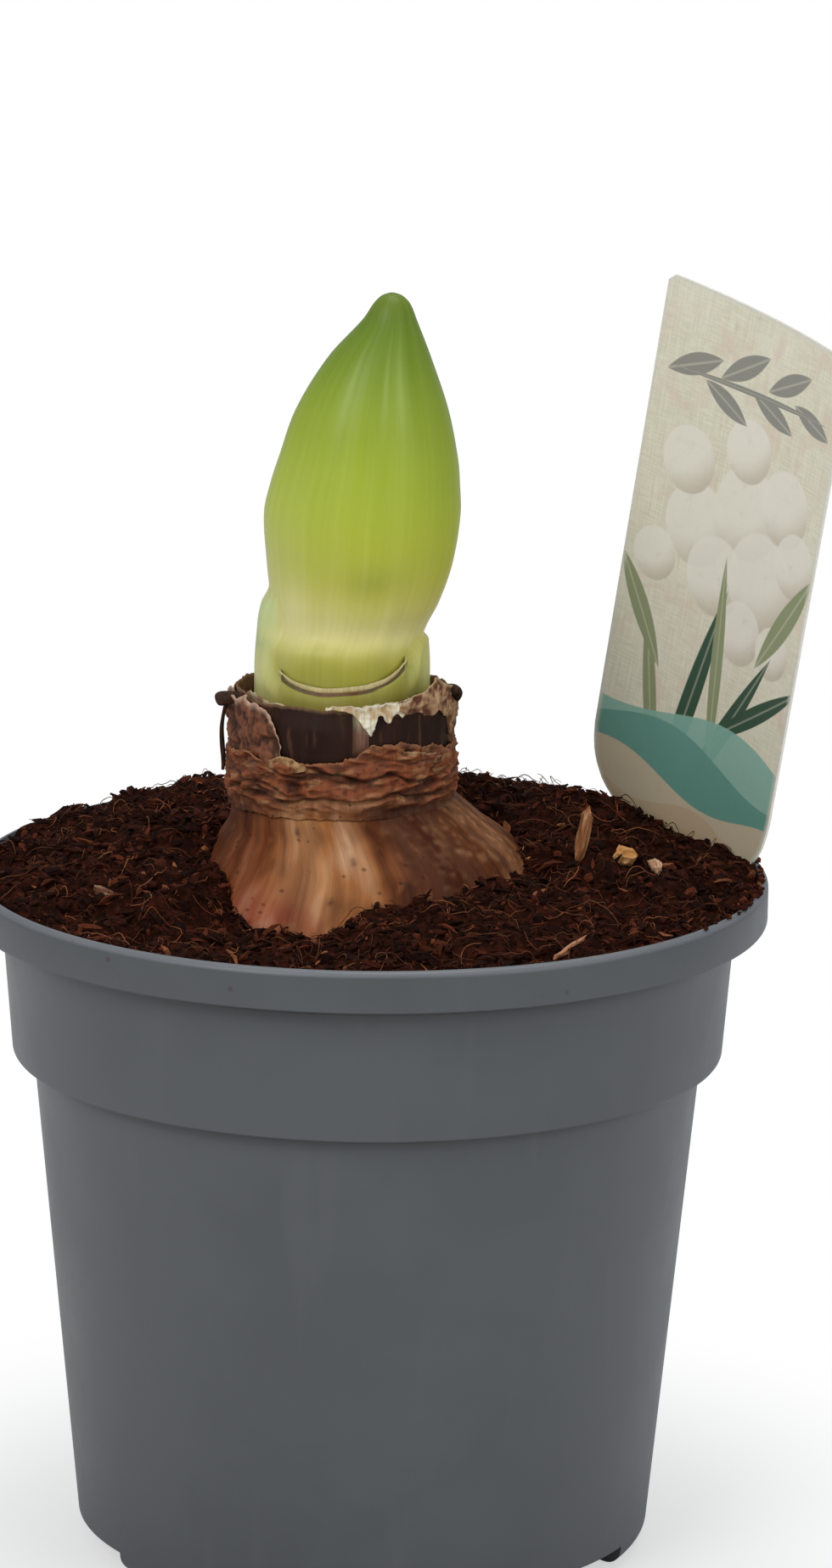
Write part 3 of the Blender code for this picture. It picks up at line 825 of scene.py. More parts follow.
def makeCrumbs():
    chance = random.Random(11)
    points, faces, shades = [], [], []
    shell = ballShell(1)
    small, large = soil["crumbSizes"]
    for _ in range(soil["crumbs"]):
        spot = freeSpot(chance, soil["crumbReach"])
        size = small + (large - small) * chance.random() ** 3.2
        sizes = [size * chance.uniform(0.45, 1.3) for _ in range(3)]
        spot.z += size * chance.uniform(-0.4, 0.35)
        count = lumpInto(points, faces, shell, spot, sizes, anySpin(chance), chance)
        shades += [chance.random() ** 2.6] * count
    start, end = (math.radians(turn) for turn in soil["rimCrumbTurns"])
    for _ in range(soil["rimCrumbs"]):
        turn = start + (end - start) * (chance.random() + chance.random()) / 2
        size = chance.uniform(0.2, 0.6) * mm
        spot = around(turn, chance.uniform(61.8, 64.6) * mm, rimTop + 0.4 * size)
        sizes = [size * chance.uniform(0.5, 1.3) for _ in range(3)]
        count = lumpInto(points, faces, shell, spot, sizes, anySpin(chance), chance)
        shades += [chance.random()] * count
    makePiece("mixCrumbs", points, faces, crumbLook, "potting_mix", shade=shades, smooth=False)


def sliverInto(points, faces, place, spin, length, width, thick, chance):
    # a flat torn strip, a little bent, with rough sides
    first = len(points)
    bow = chance.uniform(-0.16, 0.16) * length
    for step, taper in enumerate((0.35, 1.0, 0.9, 0.3)):
        share = step / 3
        along = length * (share - 0.5)
        drop = bow * (1 - (2 * share - 1) ** 2)
        for across, up in ((-1, -1), (1, -1), (1, 1), (-1, 1)):
            wide = 0.5 * width * taper * across * chance.uniform(0.7, 1.3)
            high = 0.5 * thick * taper * up * chance.uniform(0.7, 1.3)
            points.append(place + spin @ Vector((along, wide, high + drop)))
    for step in range(3):
        for k in range(4):
            n = (k + 1) % 4
            low, high = first + 4 * step, first + 4 * step + 4
            faces.append((low + k, high + k, high + n, low + n))
    faces.append((first, first + 1, first + 2, first + 3))
    faces.append((first + 15, first + 14, first + 13, first + 12))
    return 16


def edgeSpot(chance):
    # a random place where the mix meets the bulb
    while True:
        spot = freeSpot(chance, soil["bulbReach"])
        near = plantTree.find_nearest(spot, 2.2 * mm)[0]
        if near is not None:
            aside = (near - spot) * chance.uniform(0.4, 1.0)
            return spot + aside + Vector((0, 0, chance.uniform(0.0, 0.7) * mm))


def makeSlivers():
    chance = random.Random(17)
    points, faces, shades = [], [], []
    short, long = soil["sliverSizes"]
    for number in range(soil["slivers"]):
        atBulb = number < soil["bulbSlivers"]
        spot = edgeSpot(chance) if atBulb else freeSpot(chance, soil["sliverReach"])
        length = short + (long - short) * chance.random() ** (3.0 if atBulb else 2.2)
        width = length * chance.uniform(0.1, 0.3)
        thick = width * chance.uniform(0.25, 0.6)
        spin = Euler((chance.uniform(-1.2, 1.2), chance.gauss(0, 0.32), chance.uniform(0, 2 * math.pi)))
        spot.z += chance.uniform(-0.15, 0.45) * mm
        count = sliverInto(points, faces, spot, spin.to_matrix(), length, width, thick, chance)
        shades += [chance.random() ** 1.9] * count
    makePiece("mixSlivers", points, faces, crumbLook, "potting_mix", shade=shades, smooth=False)


def makeFibres():
    chance = random.Random(23)
    points, faces, shades = [], [], []
    steps = soil["fibreSteps"]
    for _ in range(soil["fibres"]):
        place = freeSpot(chance, soil["fibreReach"])
        length = (2.0 + 8.0 * chance.random() ** 1.6) * mm
        thick = chance.uniform(0.04, 0.1) * mm
        heading = chance.uniform(0, 2 * math.pi)
        bend = chance.gauss(0, 0.17)
        swell = chance.uniform(-0.05, 0.05)
        lift = 1.6 * mm * chance.random() ** 2.4
        path = []
        for step in range(steps + 1):
            ground = soilHeight(place.x, place.y)
            if ground is None or place.xy.length > soil["fibreEnd"]:
                break
            arch = lift * math.sin(math.pi * min(1.0, step / steps * 1.1)) + 0.35 * mm
            path.append(Vector((place.x, place.y, ground + arch)))
            heading += bend
            bend += swell
            place += Vector((math.cos(heading), math.sin(heading), 0)) * length / steps
        path = [spot for spot in path if plantTree.find_nearest(spot, 0.3 * mm)[0] is None]
        if len(path) < 5:
            continue
        radii = [thick * (0.55 + 0.45 * math.sin(math.pi * i / (len(path) - 1))) for i in range(len(path))]
        count = tubeInto(points, faces, path, radii, 3)
        shades += [chance.random() ** 2.8] * count
    makePiece("coirFibres", points, faces, fibreMaterial(), "potting_mix", shade=shades)


makeSoil()
print("mix made")
crumbLook = crumbMaterial()
makeCrumbs()
makeSlivers()
makeFibres()
print("crumbs and fibres made")


# bulb

bulb = {
    "columns": 300,
    "rows": 120,
    "neckX": -4.7 * mm,
    # turn in degrees, then red, green and blue of the skin there; the pale band from about -40 to 2 degrees
    # is partly the skin's own colour and partly a painted highlight
    "skin": [
        (-180, 96, 52, 30), (-120, 92, 50, 28), (-85, 98, 52, 29), (-62, 118, 62, 34), (-50, 134, 73, 39),
        (-40, 158, 95, 55), (-30, 192, 133, 89), (-18, 194, 136, 88), (-8, 180, 116, 68), (2, 162, 102, 58),
        (9, 138, 82, 48), (15, 98, 52, 31), (24, 80, 38, 23), (34, 74, 34, 20), (46, 84, 42, 24),
        (60, 112, 66, 38), (72, 138, 90, 58), (84, 122, 74, 44), (140, 100, 56, 32), (180, 96, 52, 30),
    ],
    "blush": (178, 92, 74), "crimson": (146, 62, 48), "streak": (236, 198, 160), "gap": (70, 30, 16),
    "cross": (196, 146, 104), "stain": (66, 28, 18), "flake": (176, 122, 82), "shoulder": (72, 37, 24),
    "ends": (150, 110, 76), "spot": (58, 30, 22),
    # turn in degrees, height and size in mm
    "spots": [(-26, 122.4, 0.7), (-3, 118.8, 0.6), (16, 115.4, 0.8), (-12, 113.2, 0.5), (33, 116.9, 0.5)],
}
bulbRows = sectionsOf("bulb")


def ribs(turn, height, reach):
    # long ridges that run up the skin
    place = wrapAt(turn, height * 0.12)
    return reach * (0.24 * mm * grain(place, 3.8 * mm, 2.0) + 0.09 * mm * grain(place, 1.4 * mm, 6.0))


def bulbPlace(turn, height, stand=0.0):
    # a place on the bulb, or standing off its skin
    centreX, width, depth = smoothAt(height, bulbRows)
    stand += ribs(turn, height, ease((height - 52 * mm) / (20 * mm)))
    return ovalAt(turn, width + stand, depth + stand, height, centreX)


def bulbTint(turn, height):
    degrees, z = halfTurn(turn), height / mm
    wander = 5 * skinGrain(turn, height * 0.6, 7, 8.0) + 3 * skinGrain(turn, height, 2, 9.0)
    bent = turn + 0.05 * skinGrain(turn, height * 0.9, 3.0, 3.0)
    streak = skinGrain(bent, height * 0.11, 1, 4.0, 9 * mm)
    flush = skinGrain(bent, height * 0.22, 1, 20.0, 9 * mm)
    cross = grain((turn * 12 * mm + height, turn * 12 * mm - height * 1.4, 0.0), 1.0 * mm, 12.0)
    stain = grain((turn * 14 * mm, height * 0.5, 0.0), 2.4 * mm, 13.0)
    flake = grain((turn * 14 * mm, height * 0.6, 0.0), 1.2 * mm, 16.0)
    middle = bell(degrees, -20, 20)
    low = ease((117 - z) / 8) * bell(degrees, -36, 20)
    foot = ease((114.5 - z) / 5.5) * bell(degrees, -32, 24)
    shoulder = ease((z - 121.5 - 2.5 * flake) / 5) * (1 - 0.9 * bell(degrees, -14, 24))
    # the pale streaks in the middle of the front are partly the skin's own streaks and partly a painted
    # highlight
    layers = [
        ("blush", 0.6 * low),
        ("streak", min(0.85, 2.1 * max(0.0, streak) * middle)),
        ("gap", min(0.8, 1.2 * max(0.0, -streak) * (1.1 - 0.5 * middle))),
        ("crimson", 0.62 * ease(flush * 2.2 + 0.3) * foot),
        ("cross", 0.8 * max(0.0, cross) * bell(degrees, 66, 32)),
        ("stain", 0.75 * ease(stain * 2.4 - 0.3) * (1 - 0.75 * middle)),
        ("flake", 0.28 * ease(flake * 3.0 - 0.9)),
        ("shoulder", 0.7 * shoulder),
    ]
    for spotTurn, spotHeight, size in bulb["spots"]:
        away = math.hypot((degrees - spotTurn) * 0.45, z - spotHeight) / size
        layers.append(("spot", 0.8 * math.exp(-away * away)))
    return paint(smoothAt(degrees + wander, bulb["skin"]), bulb, layers)


drySkin = {
    "stretch": 0.07, "vein": (176, 148, 130), "pale": (226, 180, 138), "paleShare": 0.2, "broad": 0.5,
    "speck": (52, 28, 20), "speckSpacing": 900.0,
}


def veined(tree, spec, fineness, contrast):
    # the painted tint with fine dark veins and broad pale ones
    wrap = attributeOf(tree, "wrap")
    tint = attributeOf(tree, "tint", "Color")
    lines = useGroup(tree, veins, {"Wrap": wrap, "Fineness": fineness, "Stretch": spec["stretch"]})
    dark = mixOf(tree, 1.0, tint, spec["vein"], "MULTIPLY")
    pale = mixOf(tree, spec["paleShare"], tint, spec["pale"])
    colour = mixOf(tree, times(tree, lines["Fine"], contrast), tint, dark)
    colour = mixOf(tree, times(tree, lines["Broad"], contrast * spec["broad"]), colour, pale)
    return wrap, lines, colour


def papery(name, roughness, fineness, contrast, bump, specked, gloss=0.16):
    # dry skin: its painted tint, with veins, specks and a fine crease
    made = newMaterial(name, roughness, Specular_IOR_Level=gloss)
    _, tree, shader = made
    wrap, lines, colour = veined(tree, drySkin, fineness, contrast)
    spots = useGroup(tree, specks, {
        "Vector": wrap, "Spacing": drySkin["speckSpacing"], "Share": specked, "Size": 0.3,
    })["Mask"]
    colour = mixOf(tree, times(tree, spots, 0.55), colour, drySkin["speck"])
    rough = mathOf(tree, "MULTIPLY_ADD", lines["Broad"], 0.15, roughness - 0.06)
    tree.links.new(rough, shader.inputs["Roughness"])
    return finished(made, colour, lines["Fine"], bump, 0.8)


def makeBulb():
    # the rows lie closer together towards the neck
    rows, bottom, top = bulb["rows"], bulbRows[0][0], bulbRows[-1][0]
    heights = [bottom + (top - bottom) * (row / rows) ** 0.6 for row in range(rows + 1)]
    endTints = 2 * [tone(*bulb["ends"])]
    skin = papery("bulbSkin", 0.55, 1300.0, 0.5, 0.00014, 0.12, 0.05)
    makeBody("bulbBody", bulb["columns"], heights, bulbPlace, bulbTint, endTints, skin, "bulb_skin", ["bulb"])


makeBulb()
print("bulb made")


# dry scales round the neck

def makeSkin(name, spec, surface, tintAt, material, slotName, replaced, inner=None):
    # a thin skin between two turns, with both its sides and closed edges
    start, end = spec["turns"]
    columns, rows = spec["columns"], spec["rows"]
    closed = end - start >= 360
    count = columns if closed else columns + 1
    turns = [math.radians(start + (end - start) * i / columns) for i in range(count)]
    shares = [row / rows for row in range(rows + 1)]
    outer = [[surface(turn, share) for turn in turns] for share in shares]

    def behind(row, i):
        if inner:
            return inner(turns[i], shares[row])
        left = outer[row][(i - 1) % count if closed else max(i - 1, 0)]
        right = outer[row][(i + 1) % count if closed else min(i + 1, count - 1)]
        rise = outer[min(row + 1, rows)][i] - outer[max(row - 1, 0)][i]
        thin = 1 - 0.55 * ease(shares[row] * 1.4 - 0.4)
        return outer[row][i] - (right - left).cross(rise).normalized() * spec["wall"] * thin

    grid = [(row, i) for row in range(rows + 1) for i in range(count)]
    points = [outer[row][i] for row, i in grid] + [behind(row, i) for row, i in grid]
    wrap = [wrapAt(turns[i], outer[row][i].z) for row, i in grid]
    tint = [tintAt(turns[i], shares[row], outer[row][i].z) for row, i in grid]
    makePiece(name, points, shellFaces(rows, count, closed), material, slotName, replaced, 2 * wrap, 2 * tint)


def torn(turn, seed, jag):
    # how far a torn edge wanders, in metres
    place = wrapAt(turn, 0.0, 18 * mm)
    ragged = 0.55 * grain(place, 4.0 * mm, seed) + 0.35 * grain(place, 1.3 * mm, seed + 3)
    return jag * mm * (ragged + 0.22 * grain(place, 0.45 * mm, seed + 7))


def creases(turn, height):
    # lying folds, from -1 in a crease to 1 on a ridge
    place = wrapAt(turn, height * 7.0, 18 * mm)
    return 0.7 * (1 - 2 * abs(grain(place, 9.0 * mm, 1.0))) + 0.4 * grain(place, 3.2 * mm, 4.0)


def neckPlace(turn, radius, height):
    # a place round the middle of the neck
    return around(turn, radius, height, bulb["neckX"])


dryScale = papery("dryScale", 0.62, 1900.0, 0.4, 0.00014, 0.16)
darkScale = papery("darkScale", 0.55, 1500.0, 0.12, 0.00003, 0.03, 0.1)
paleScale = papery("paleScale", 0.62, 2300.0, 0.35, 0.00012, 0.04)

outerTunic = {
    "turns": (-180, 180), "columns": 530, "rows": 54, "wall": 0.5 * mm,
    "hem": 123.4 * mm, "closest": 18.3 * mm,
    # turn in degrees, then the height of the torn top edge in mm
    "rim": [
        (-180, 133.2), (-120, 132.6), (-80, 133.6), (-55, 134.0), (-38, 133.0), (-26, 133.8), (-16, 133.8),
        (0, 134.4), (8, 135.0), (14, 136.6), (24, 136.7), (40, 136.1), (55, 135.2), (68, 134.4), (90, 134.0),
        (130, 132.6), (180, 133.2),
    ],
    # lying folds: height and depth in mm, middle turn and reach in degrees, rise in mm
    "folds": [
        (131.1, 0.6, 24, 48, -0.4), (127.7, 0.65, -6, 80, 0.4), (129.5, 0.45, -50, 36, -0.6),
        (125.6, 0.3, 8, 42, 0.3), (129.6, 0.4, 64, 28, -0.4), (124.0, 0.25, -34, 32, 0.4),
        (132.3, 0.4, -34, 24, -0.5), (133.6, 0.35, 40, 20, -0.4), (130.0, 0.5, 130, 52, 0.5),
        (127.2, 0.5, 172, 60, -0.4), (125.0, 0.35, -120, 52, 0.4), (129.6, 0.5, -140, 42, 0.6),
    ],
    "brown": (84, 43, 27), "shadow": (40, 16, 10), "ridgeHighlight": (150, 82, 50), "tan": (186, 134, 94),
    "plum": (100, 62, 54),
}
darkTunic = {
    "turns": (15, 366), "columns": 350, "rows": 24, "wall": 0.5 * mm,
    "top": 142.3 * mm, "foot": 127.2 * mm, "radius": 17.6 * mm,
    "dark": (42, 24, 19), "brown": (72, 43, 32), "thread": (108, 72, 54), "edge": (150, 116, 84),
}
paleNeck = {
    "turns": (-180, 180), "columns": 400, "rows": 26, "wall": 0.45 * mm,
    "foot": 127.2 * mm, "radius": 16.7 * mm,
    "rim": [
        (-180, 142.4), (-120, 142.8), (-75, 143.0), (-58, 143.2), (-46, 142.7), (-36, 142.3), (-28, 141.5),
        (0, 141.5), (6, 142.2), (14, 142.7), (24, 143.0), (40, 143.3), (56, 143.9), (75, 143.3),
        (100, 142.8), (140, 142.2), (180, 142.4),
    ],
    "cream": (226, 214, 176), "pink": (150, 110, 94), "brown": (118, 76, 54),
}


def foldAt(turn, z):
    # how far the skin is pressed in here, in mm; it swells beside each fold
    pressed = 0.0
    for middle, depth, centre, reach, rise in outerTunic["folds"]:
        side = halfTurn(turn - math.radians(centre)) / reach
        if abs(side) < 1:
            wander = 0.7 * skinGrain(turn, 0.0, 5, middle)
            away = z - middle - rise * side - wander
            shape = bell(away, 0.0, 0.24) - 0.5 * bell(away, 0.75, 0.5) - 0.3 * bell(away, -0.7, 0.5)
            pressed += depth * (1 - side ** 4) * shape
    return pressed


def frontLean(turn, height, reach):
    # the front of the neck leans in against the leaf near its rim
    return reach * bell(halfTurn(turn), -16, 26) * ease((height - 138.5 * mm) / (3.8 * mm))


def warped(turn, height):
    # the height, unevenly shifted, so that the folds don't run level
    return height + 1.3 * mm * skinGrain(turn, height * 0.7, 4.5, 37.0)


def ridge(turn, height):
    # short crumpled ridges, from -1 to 1
    return 1 - 3.4 * abs(skinGrain(turn, height * 1.9, 3.4, 38.0))


def tunicPlace(turn, share):
    hem = outerTunic["hem"] + 1.2 * mm * math.cos(turn) + torn(turn, 31, 0.7)
    top = edgeAt(turn, outerTunic["rim"]) + torn(turn, 33, 1.2)
    height = hem + (top - hem) * share
    onBulb = bulbPlace(turn, height, (0.5 * ease(share * 5) - 0.2) * mm)
    far = max((onBulb.x - bulb["neckX"]) * math.sin(turn) - onBulb.y * math.cos(turn), outerTunic["closest"])
    rough = ease(3.4 * share)
    far += 0.34 * mm * creases(turn, warped(turn, height)) * rough
    far += 0.5 * mm * ridge(turn, height) * rough
    far += 0.22 * mm * skinGrain(turn, height * 2.0, 1.1, 36.0) * rough
    far += 0.45 * mm * ease(share * 5 - 4) * skinGrain(turn, 0.0, 2.2, 9.0)
    return neckPlace(turn, far - foldAt(turn, warped(turn, height) / mm) * mm * rough, height)


def tunicTint(turn, share, height):
    lift = 0.5 * creases(turn, warped(turn, height)) + 0.6 * ridge(turn, height)
    patch = skinGrain(turn, height * 2.2, 2.2, 14.0)
    fleck = skinGrain(turn, height * 1.8, 0.9, 15.0)
    plum = skinGrain(turn, height * 1.6, 2.6, 18.0)
    pressed = max(0.0, foldAt(turn, warped(turn, height) / mm))
    band = bell(height / mm, 127.2 + 0.6 * patch, 1.0) * bell(halfTurn(turn), 5, 22)
    # painted highlight on the ridges of the folds, and painted shade in their creases and where the folds
    # press in; the flecks are dark spots of the skin
    colour = paint(outerTunic["brown"], outerTunic, [
        ("ridgeHighlight", ease(0.25 + lift * 0.9)),
        ("shadow", 0.8 * ease(-lift * 1.1 - 0.1)),
        ("tan", 0.8 * ease(patch * 2.4 - 0.35)),
        ("shadow", 0.5 * ease(-fleck * 2.2 - 0.1)),
        ("shadow", min(0.9, 2.4 * pressed)),
        ("tan", 0.5 * ease(share * 14 - 13)),
        ("plum", 0.6 * ease(plum * 2.6 - 0.5)),
        ("tan", 0.85 * band),
    ])
    return blendTones(bulbTint(turn, height), colour, ease(share * 3.6 * (1 + 0.8 * patch) - 0.14))


def darkPlace(turn, share):
    top = darkTunic["top"] + torn(turn, 41, 0.6) - 0.6 * mm * bell(halfTurn(turn), 50, 40)
    height = darkTunic["foot"] + (top - darkTunic["foot"]) * share
    far = darkTunic["radius"] + 0.2 * mm * skinGrain(turn, height * 0.5, 4, 17.0)
    return neckPlace(turn, far - frontLean(turn, height, 1.5 * mm), height)


def darkTint(turn, share, height):
    patch = skinGrain(turn, height * 0.5, 4, 19.0)
    thread = skinGrain(turn + height * 3, height * 0.12, 0.7, 23.0)
    return paint(darkTunic["dark"], darkTunic, [
        ("brown", ease(patch * 1.1)),
        ("thread", 0.5 * ease(thread * 3 - 1.0)),
        ("edge", 0.6 * ease(share * 26 - 25)),
    ])


def palePlace(turn, share):
    top = edgeAt(turn, paleNeck["rim"]) + torn(turn, 51, 1.0)
    height = paleNeck["foot"] + (top - paleNeck["foot"]) * share
    flare = 0.6 * mm * ease(share * 5 - 4) * (0.3 + skinGrain(turn, 0.0, 2.2, 55.0))
    return neckPlace(turn, paleNeck["radius"] + flare - frontLean(turn, height, 1.6 * mm), height)


def paleTint(turn, share, height):
    patch = skinGrain(turn, height * 0.6, 1.8, 21.0)
    back = ease((abs(halfTurn(turn)) - 52) / 16)
    return paint(paleNeck["pink"], paleNeck, [
        ("cream", ease(share * 5 - 3.8 + patch)),
        ("brown", max(0.8 * ease(-patch * 1.8 + 0.2), 0.9 * back)),
    ])


makeSkin("outerTunic", outerTunic, tunicPlace, tunicTint, dryScale, "dry_scale", ["wrinkled_outer_tunic"])
makeSkin("darkTunic", darkTunic, darkPlace, darkTint, darkScale, "dark_scale", ["dark_inner_tunic"])
makeSkin("paleNeck", paleNeck, palePlace, paleTint, paleScale, "pale_scale", ["pale_neck_scale"])
print("tunics made")


# torn scraps of skin round the neck, each between a low and a high edge

scraps = {
    "leftFlap": {
        "node": "left_skin_flap",
        "turns": (-92, -31), "columns": 150, "rows": 36, "wall": 0.4 * mm, "seed": 61,
        "low": [(-92, 131.0), (-31, 131.2)],
        "high": [
            (-92, 137.8), (-89, 140.6), (-86, 139.8), (-82, 142.4), (-79, 143.2), (-75, 141.4), (-70, 142.3),
            (-66, 141.9), (-61, 143.0), (-57, 143.2), (-52, 142.4), (-48, 142.6), (-43, 141.9), (-38, 140.3),
            (-35, 138.6), (-32.5, 135.6), (-31, 132.2),
        ],
        "far": 18.15, "lean": 0.5, "crumple": 0.8, "jag": 0.7,
        "light": (140, 86, 62), "dark": (66, 36, 26), "edge": (224, 188, 164),
    },
    "rightFlap": {
        "node": "right_skin_flap",
        "turns": (30, 98), "columns": 180, "rows": 32, "wall": 0.4 * mm, "seed": 65,
        "low": [
            (30, 142.2), (36, 141.2), (44, 141.3), (52, 140.4), (60, 140.9), (67, 139.4), (73, 138.6),
            (78, 135.0), (84, 133.0), (98, 132.4),
        ],
        "high": [
            (30, 143.2), (36, 143.8), (44, 144.6), (51, 145.6), (55, 146.4), (59, 145.8), (65, 144.9),
            (72, 144.4), (80, 143.6), (88, 142.4), (93, 141.2), (98, 139.6),
        ],
        "far": 18.1, "lean": 0.6, "crumple": 0.75, "jag": 0.5,
        "light": (198, 160, 122), "dark": (112, 70, 50), "edge": (214, 186, 146), "tip": (84, 46, 35),
    },
    "backFlap": {
        "node": "back_skin_flap",
        "turns": (126, 207), "columns": 170, "rows": 32, "wall": 0.4 * mm, "seed": 67,
        "low": [(126, 131.0), (207, 131.0)],
        "high": [
            (126, 134.6), (130, 138.6), (134, 137.4), (139, 140.9), (144, 142.2), (149, 140.2), (154, 141.4),
            (160, 139.2), (165, 138.6), (171, 141.0), (176, 142.3), (181, 141.2), (186, 139.4), (191, 141.2),
            (195, 137.8), (200, 138.8), (207, 134.4),
        ],
        "far": 18.15, "lean": 1.0, "crumple": 0.9, "jag": 1.1,
        "light": (142, 92, 66), "dark": (74, 42, 30), "edge": (200, 160, 118),
    },
    "creamTatter": {
        "turns": (-8, 42), "columns": 200, "rows": 24, "wall": 0.3 * mm, "seed": 69,
        "low": [
            (-8, 142.6), (0, 142.3), (5, 141.9), (8, 141.2), (10.5, 140.1), (13, 139.1), (15.3, 138.2),
            (16.4, 138.7), (17.6, 140.0), (19, 141.2), (22, 141.3), (24.6, 140.2), (27, 140.8), (29, 141.7),
            (33, 140.9), (36, 141.8), (42, 142.6),
        ],
        "high": [(-8, 142.9), (4, 142.9), (16, 143.1), (28, 143.3), (42, 143.4)],
        "far": 18.1, "lean": -0.5, "crumple": 0.9, "jag": 0.6,
        "light": (244, 238, 212), "dark": (204, 176, 136), "edge": (246, 240, 218),
        "pale": True,
    },
    "leftStraw": {
        "turns": (-38, -17), "columns": 90, "rows": 16, "wall": 0.3 * mm, "seed": 75,
        "low": [(-38, 132.4), (-28, 131.9), (-17, 132.6)],
        "high": [(-38, 133.4), (-30, 134.5), (-23, 134.1), (-17, 133.2)],
        "far": 18.75, "lean": 0.1, "crumple": 0.5, "jag": 0.5,
        "light": (190, 152, 106), "dark": (120, 74, 48), "edge": (206, 172, 124),
    },
    "rightStraw": {
        "turns": (32, 62), "columns": 110, "rows": 14, "wall": 0.3 * mm, "seed": 77,
        "low": [(32, 134.6), (42, 133.2), (52, 132.6), (62, 132.4)],
        "high": [(32, 135.6), (42, 134.9), (52, 134.2), (62, 133.2)],
        "far": 18.8, "lean": 0.1, "crumple": 0.5, "jag": 0.6,
        "light": (184, 140, 104), "dark": (112, 66, 46), "edge": (206, 170, 130),
    },
}


def makeScrap(name, spec):
    seed = spec["seed"]

    def foldOf(turn, height, fine):
        broad = skinGrain(turn, height * 0.8, 1.9, seed)
        return broad + fine * skinGrain(turn, height, 0.7, seed + 2)

    def surface(turn, share):
        degrees = math.degrees(turn)
        low = smoothAt(degrees, spec["low"])[0] * mm + torn(turn, seed + 1, 0.5 * spec["jag"])
        high = smoothAt(degrees, spec["high"])[0] * mm + torn(turn, seed + 5, spec["jag"])
        height = low + max(high - low, 0.1 * mm) * share
        far = spec["far"] + spec["lean"] * ease(share) + spec["crumple"] * foldOf(turn, height, 0.4)
        return neckPlace(turn, far * mm, height)

    def tintAt(turn, share, height):
        # lighter where the crumple bulges out and darker in its hollows: painted light and shade that follow
        # the crumple of the surface
        fold = foldOf(turn, height, 0.5) + 0.6 * skinGrain(turn, height * 0.4, 0.45, seed + 4)
        tip = ease((math.degrees(turn) - 74) / 14) if "tip" in spec else 0.0
        return paint(spec["dark"], spec, [
            ("light", ease(0.55 + fold * 1.1)),
            ("tip", 0.85 * tip),
            ("edge", 0.8 * ease(share * 8 - 7) * (1 - tip)),
        ])

    replaced = [spec["node"]] if "node" in spec else ()
    look = (paleScale, "pale_scale") if "pale" in spec else (dryScale, "dry_scale")
    makeSkin(name, spec, surface, tintAt, *look, replaced)


for scrapName, scrapSpec in scraps.items():
    makeScrap(scrapName, scrapSpec)


# a dry strand that hangs from a blunt stub at the left, and a rolled knot at the right

strand = {
    # across, towards the back and up from the middle of the neck, then its thickness, in mm
    "stub": [
        (-15.8, -6.4, 141.9, 0.8), (-17.2, -5.6, 141.8, 1.0), (-18.6, -4.6, 141.5, 1.15),
        (-19.5, -4.0, 141.2, 1.2), (-19.95, -3.8, 141.0, 1.05),
    ],
    "knot": [
        (15.8, -6.2, 143.3, 0.6), (17.0, -5.0, 143.3, 0.95), (18.0, -3.9, 143.0, 1.0),
        (18.6, -3.0, 142.3, 0.9), (18.5, -2.4, 141.2, 0.55),
    ],
    "thread": [
        (-18.6, -3.6, 140.6, 0.35), (-19.1, -2.4, 138.4, 0.3), (-19.4, -1.6, 135.8, 0.36),
        (-19.3, -1.2, 133.0, 0.42), (-19.1, -1.1, 130.6, 0.4), (-19.2, -1.2, 128.8, 0.25),
    ],
    "dark": (40, 22, 17), "light": (96, 52, 38),
}


def makeStrand():
    points, faces = [], []
    for part in ("stub", "knot", "thread"):
        rows = [(i, *row) for i, row in enumerate(strand[part])]
        places = [smoothAt((len(rows) - 1) * k / 16, rows) for k in range(17)]
        path = [Vector((bulb["neckX"] + x * mm, y * mm, z * mm)) for x, y, z, _ in places]
        tubeInto(points, faces, path, [thick * mm for *_, thick in places], 14)
    shares = [ease(2 * grain(place, 1.1 * mm, 5.0) - 0.2) for place in points]
    tints = [paint(strand["dark"], strand, [("light", share)]) for share in shares]
    makePiece("tornStrand", points, faces, dryScale, "dry_scale", ["left_torn_strip"], points, tints)


makeStrand()
print("scraps made")


# leaf sheath and its inner skin, round the bud

def budRows():
    # the stem's and the bud's rings, from the lowest; the stem fills the sheath
    rows = sorted(sectionsOf("flower_stem") + sectionsOf("flower_bud"))
    full, sheathed = 12.65 * mm, 150.5 * mm
    apart = []
    for height, centreX, width, depth in rows:
        if apart and height - apart[-1][0] <= 0.4 * mm:
            continue
        if height < sheathed:
            width, depth = max(width, full), max(depth, full)
        apart.append((height, centreX, width, depth))
    return apart


budSections = budRows()


def budFar(turn, height):
    # how far the bud reaches from the middle of the neck
    centreX, width, depth = smoothAt(height, budSections)
    shift = centreX - bulb["neckX"]
    a = (math.sin(turn) / width) ** 2 + (math.cos(turn) / depth) ** 2
    b = -2 * shift * math.sin(turn) / width ** 2
    c = (shift / width) ** 2 - 1
    return (-b + math.sqrt(max(0.0, b * b - 4 * a * c))) / (2 * a)


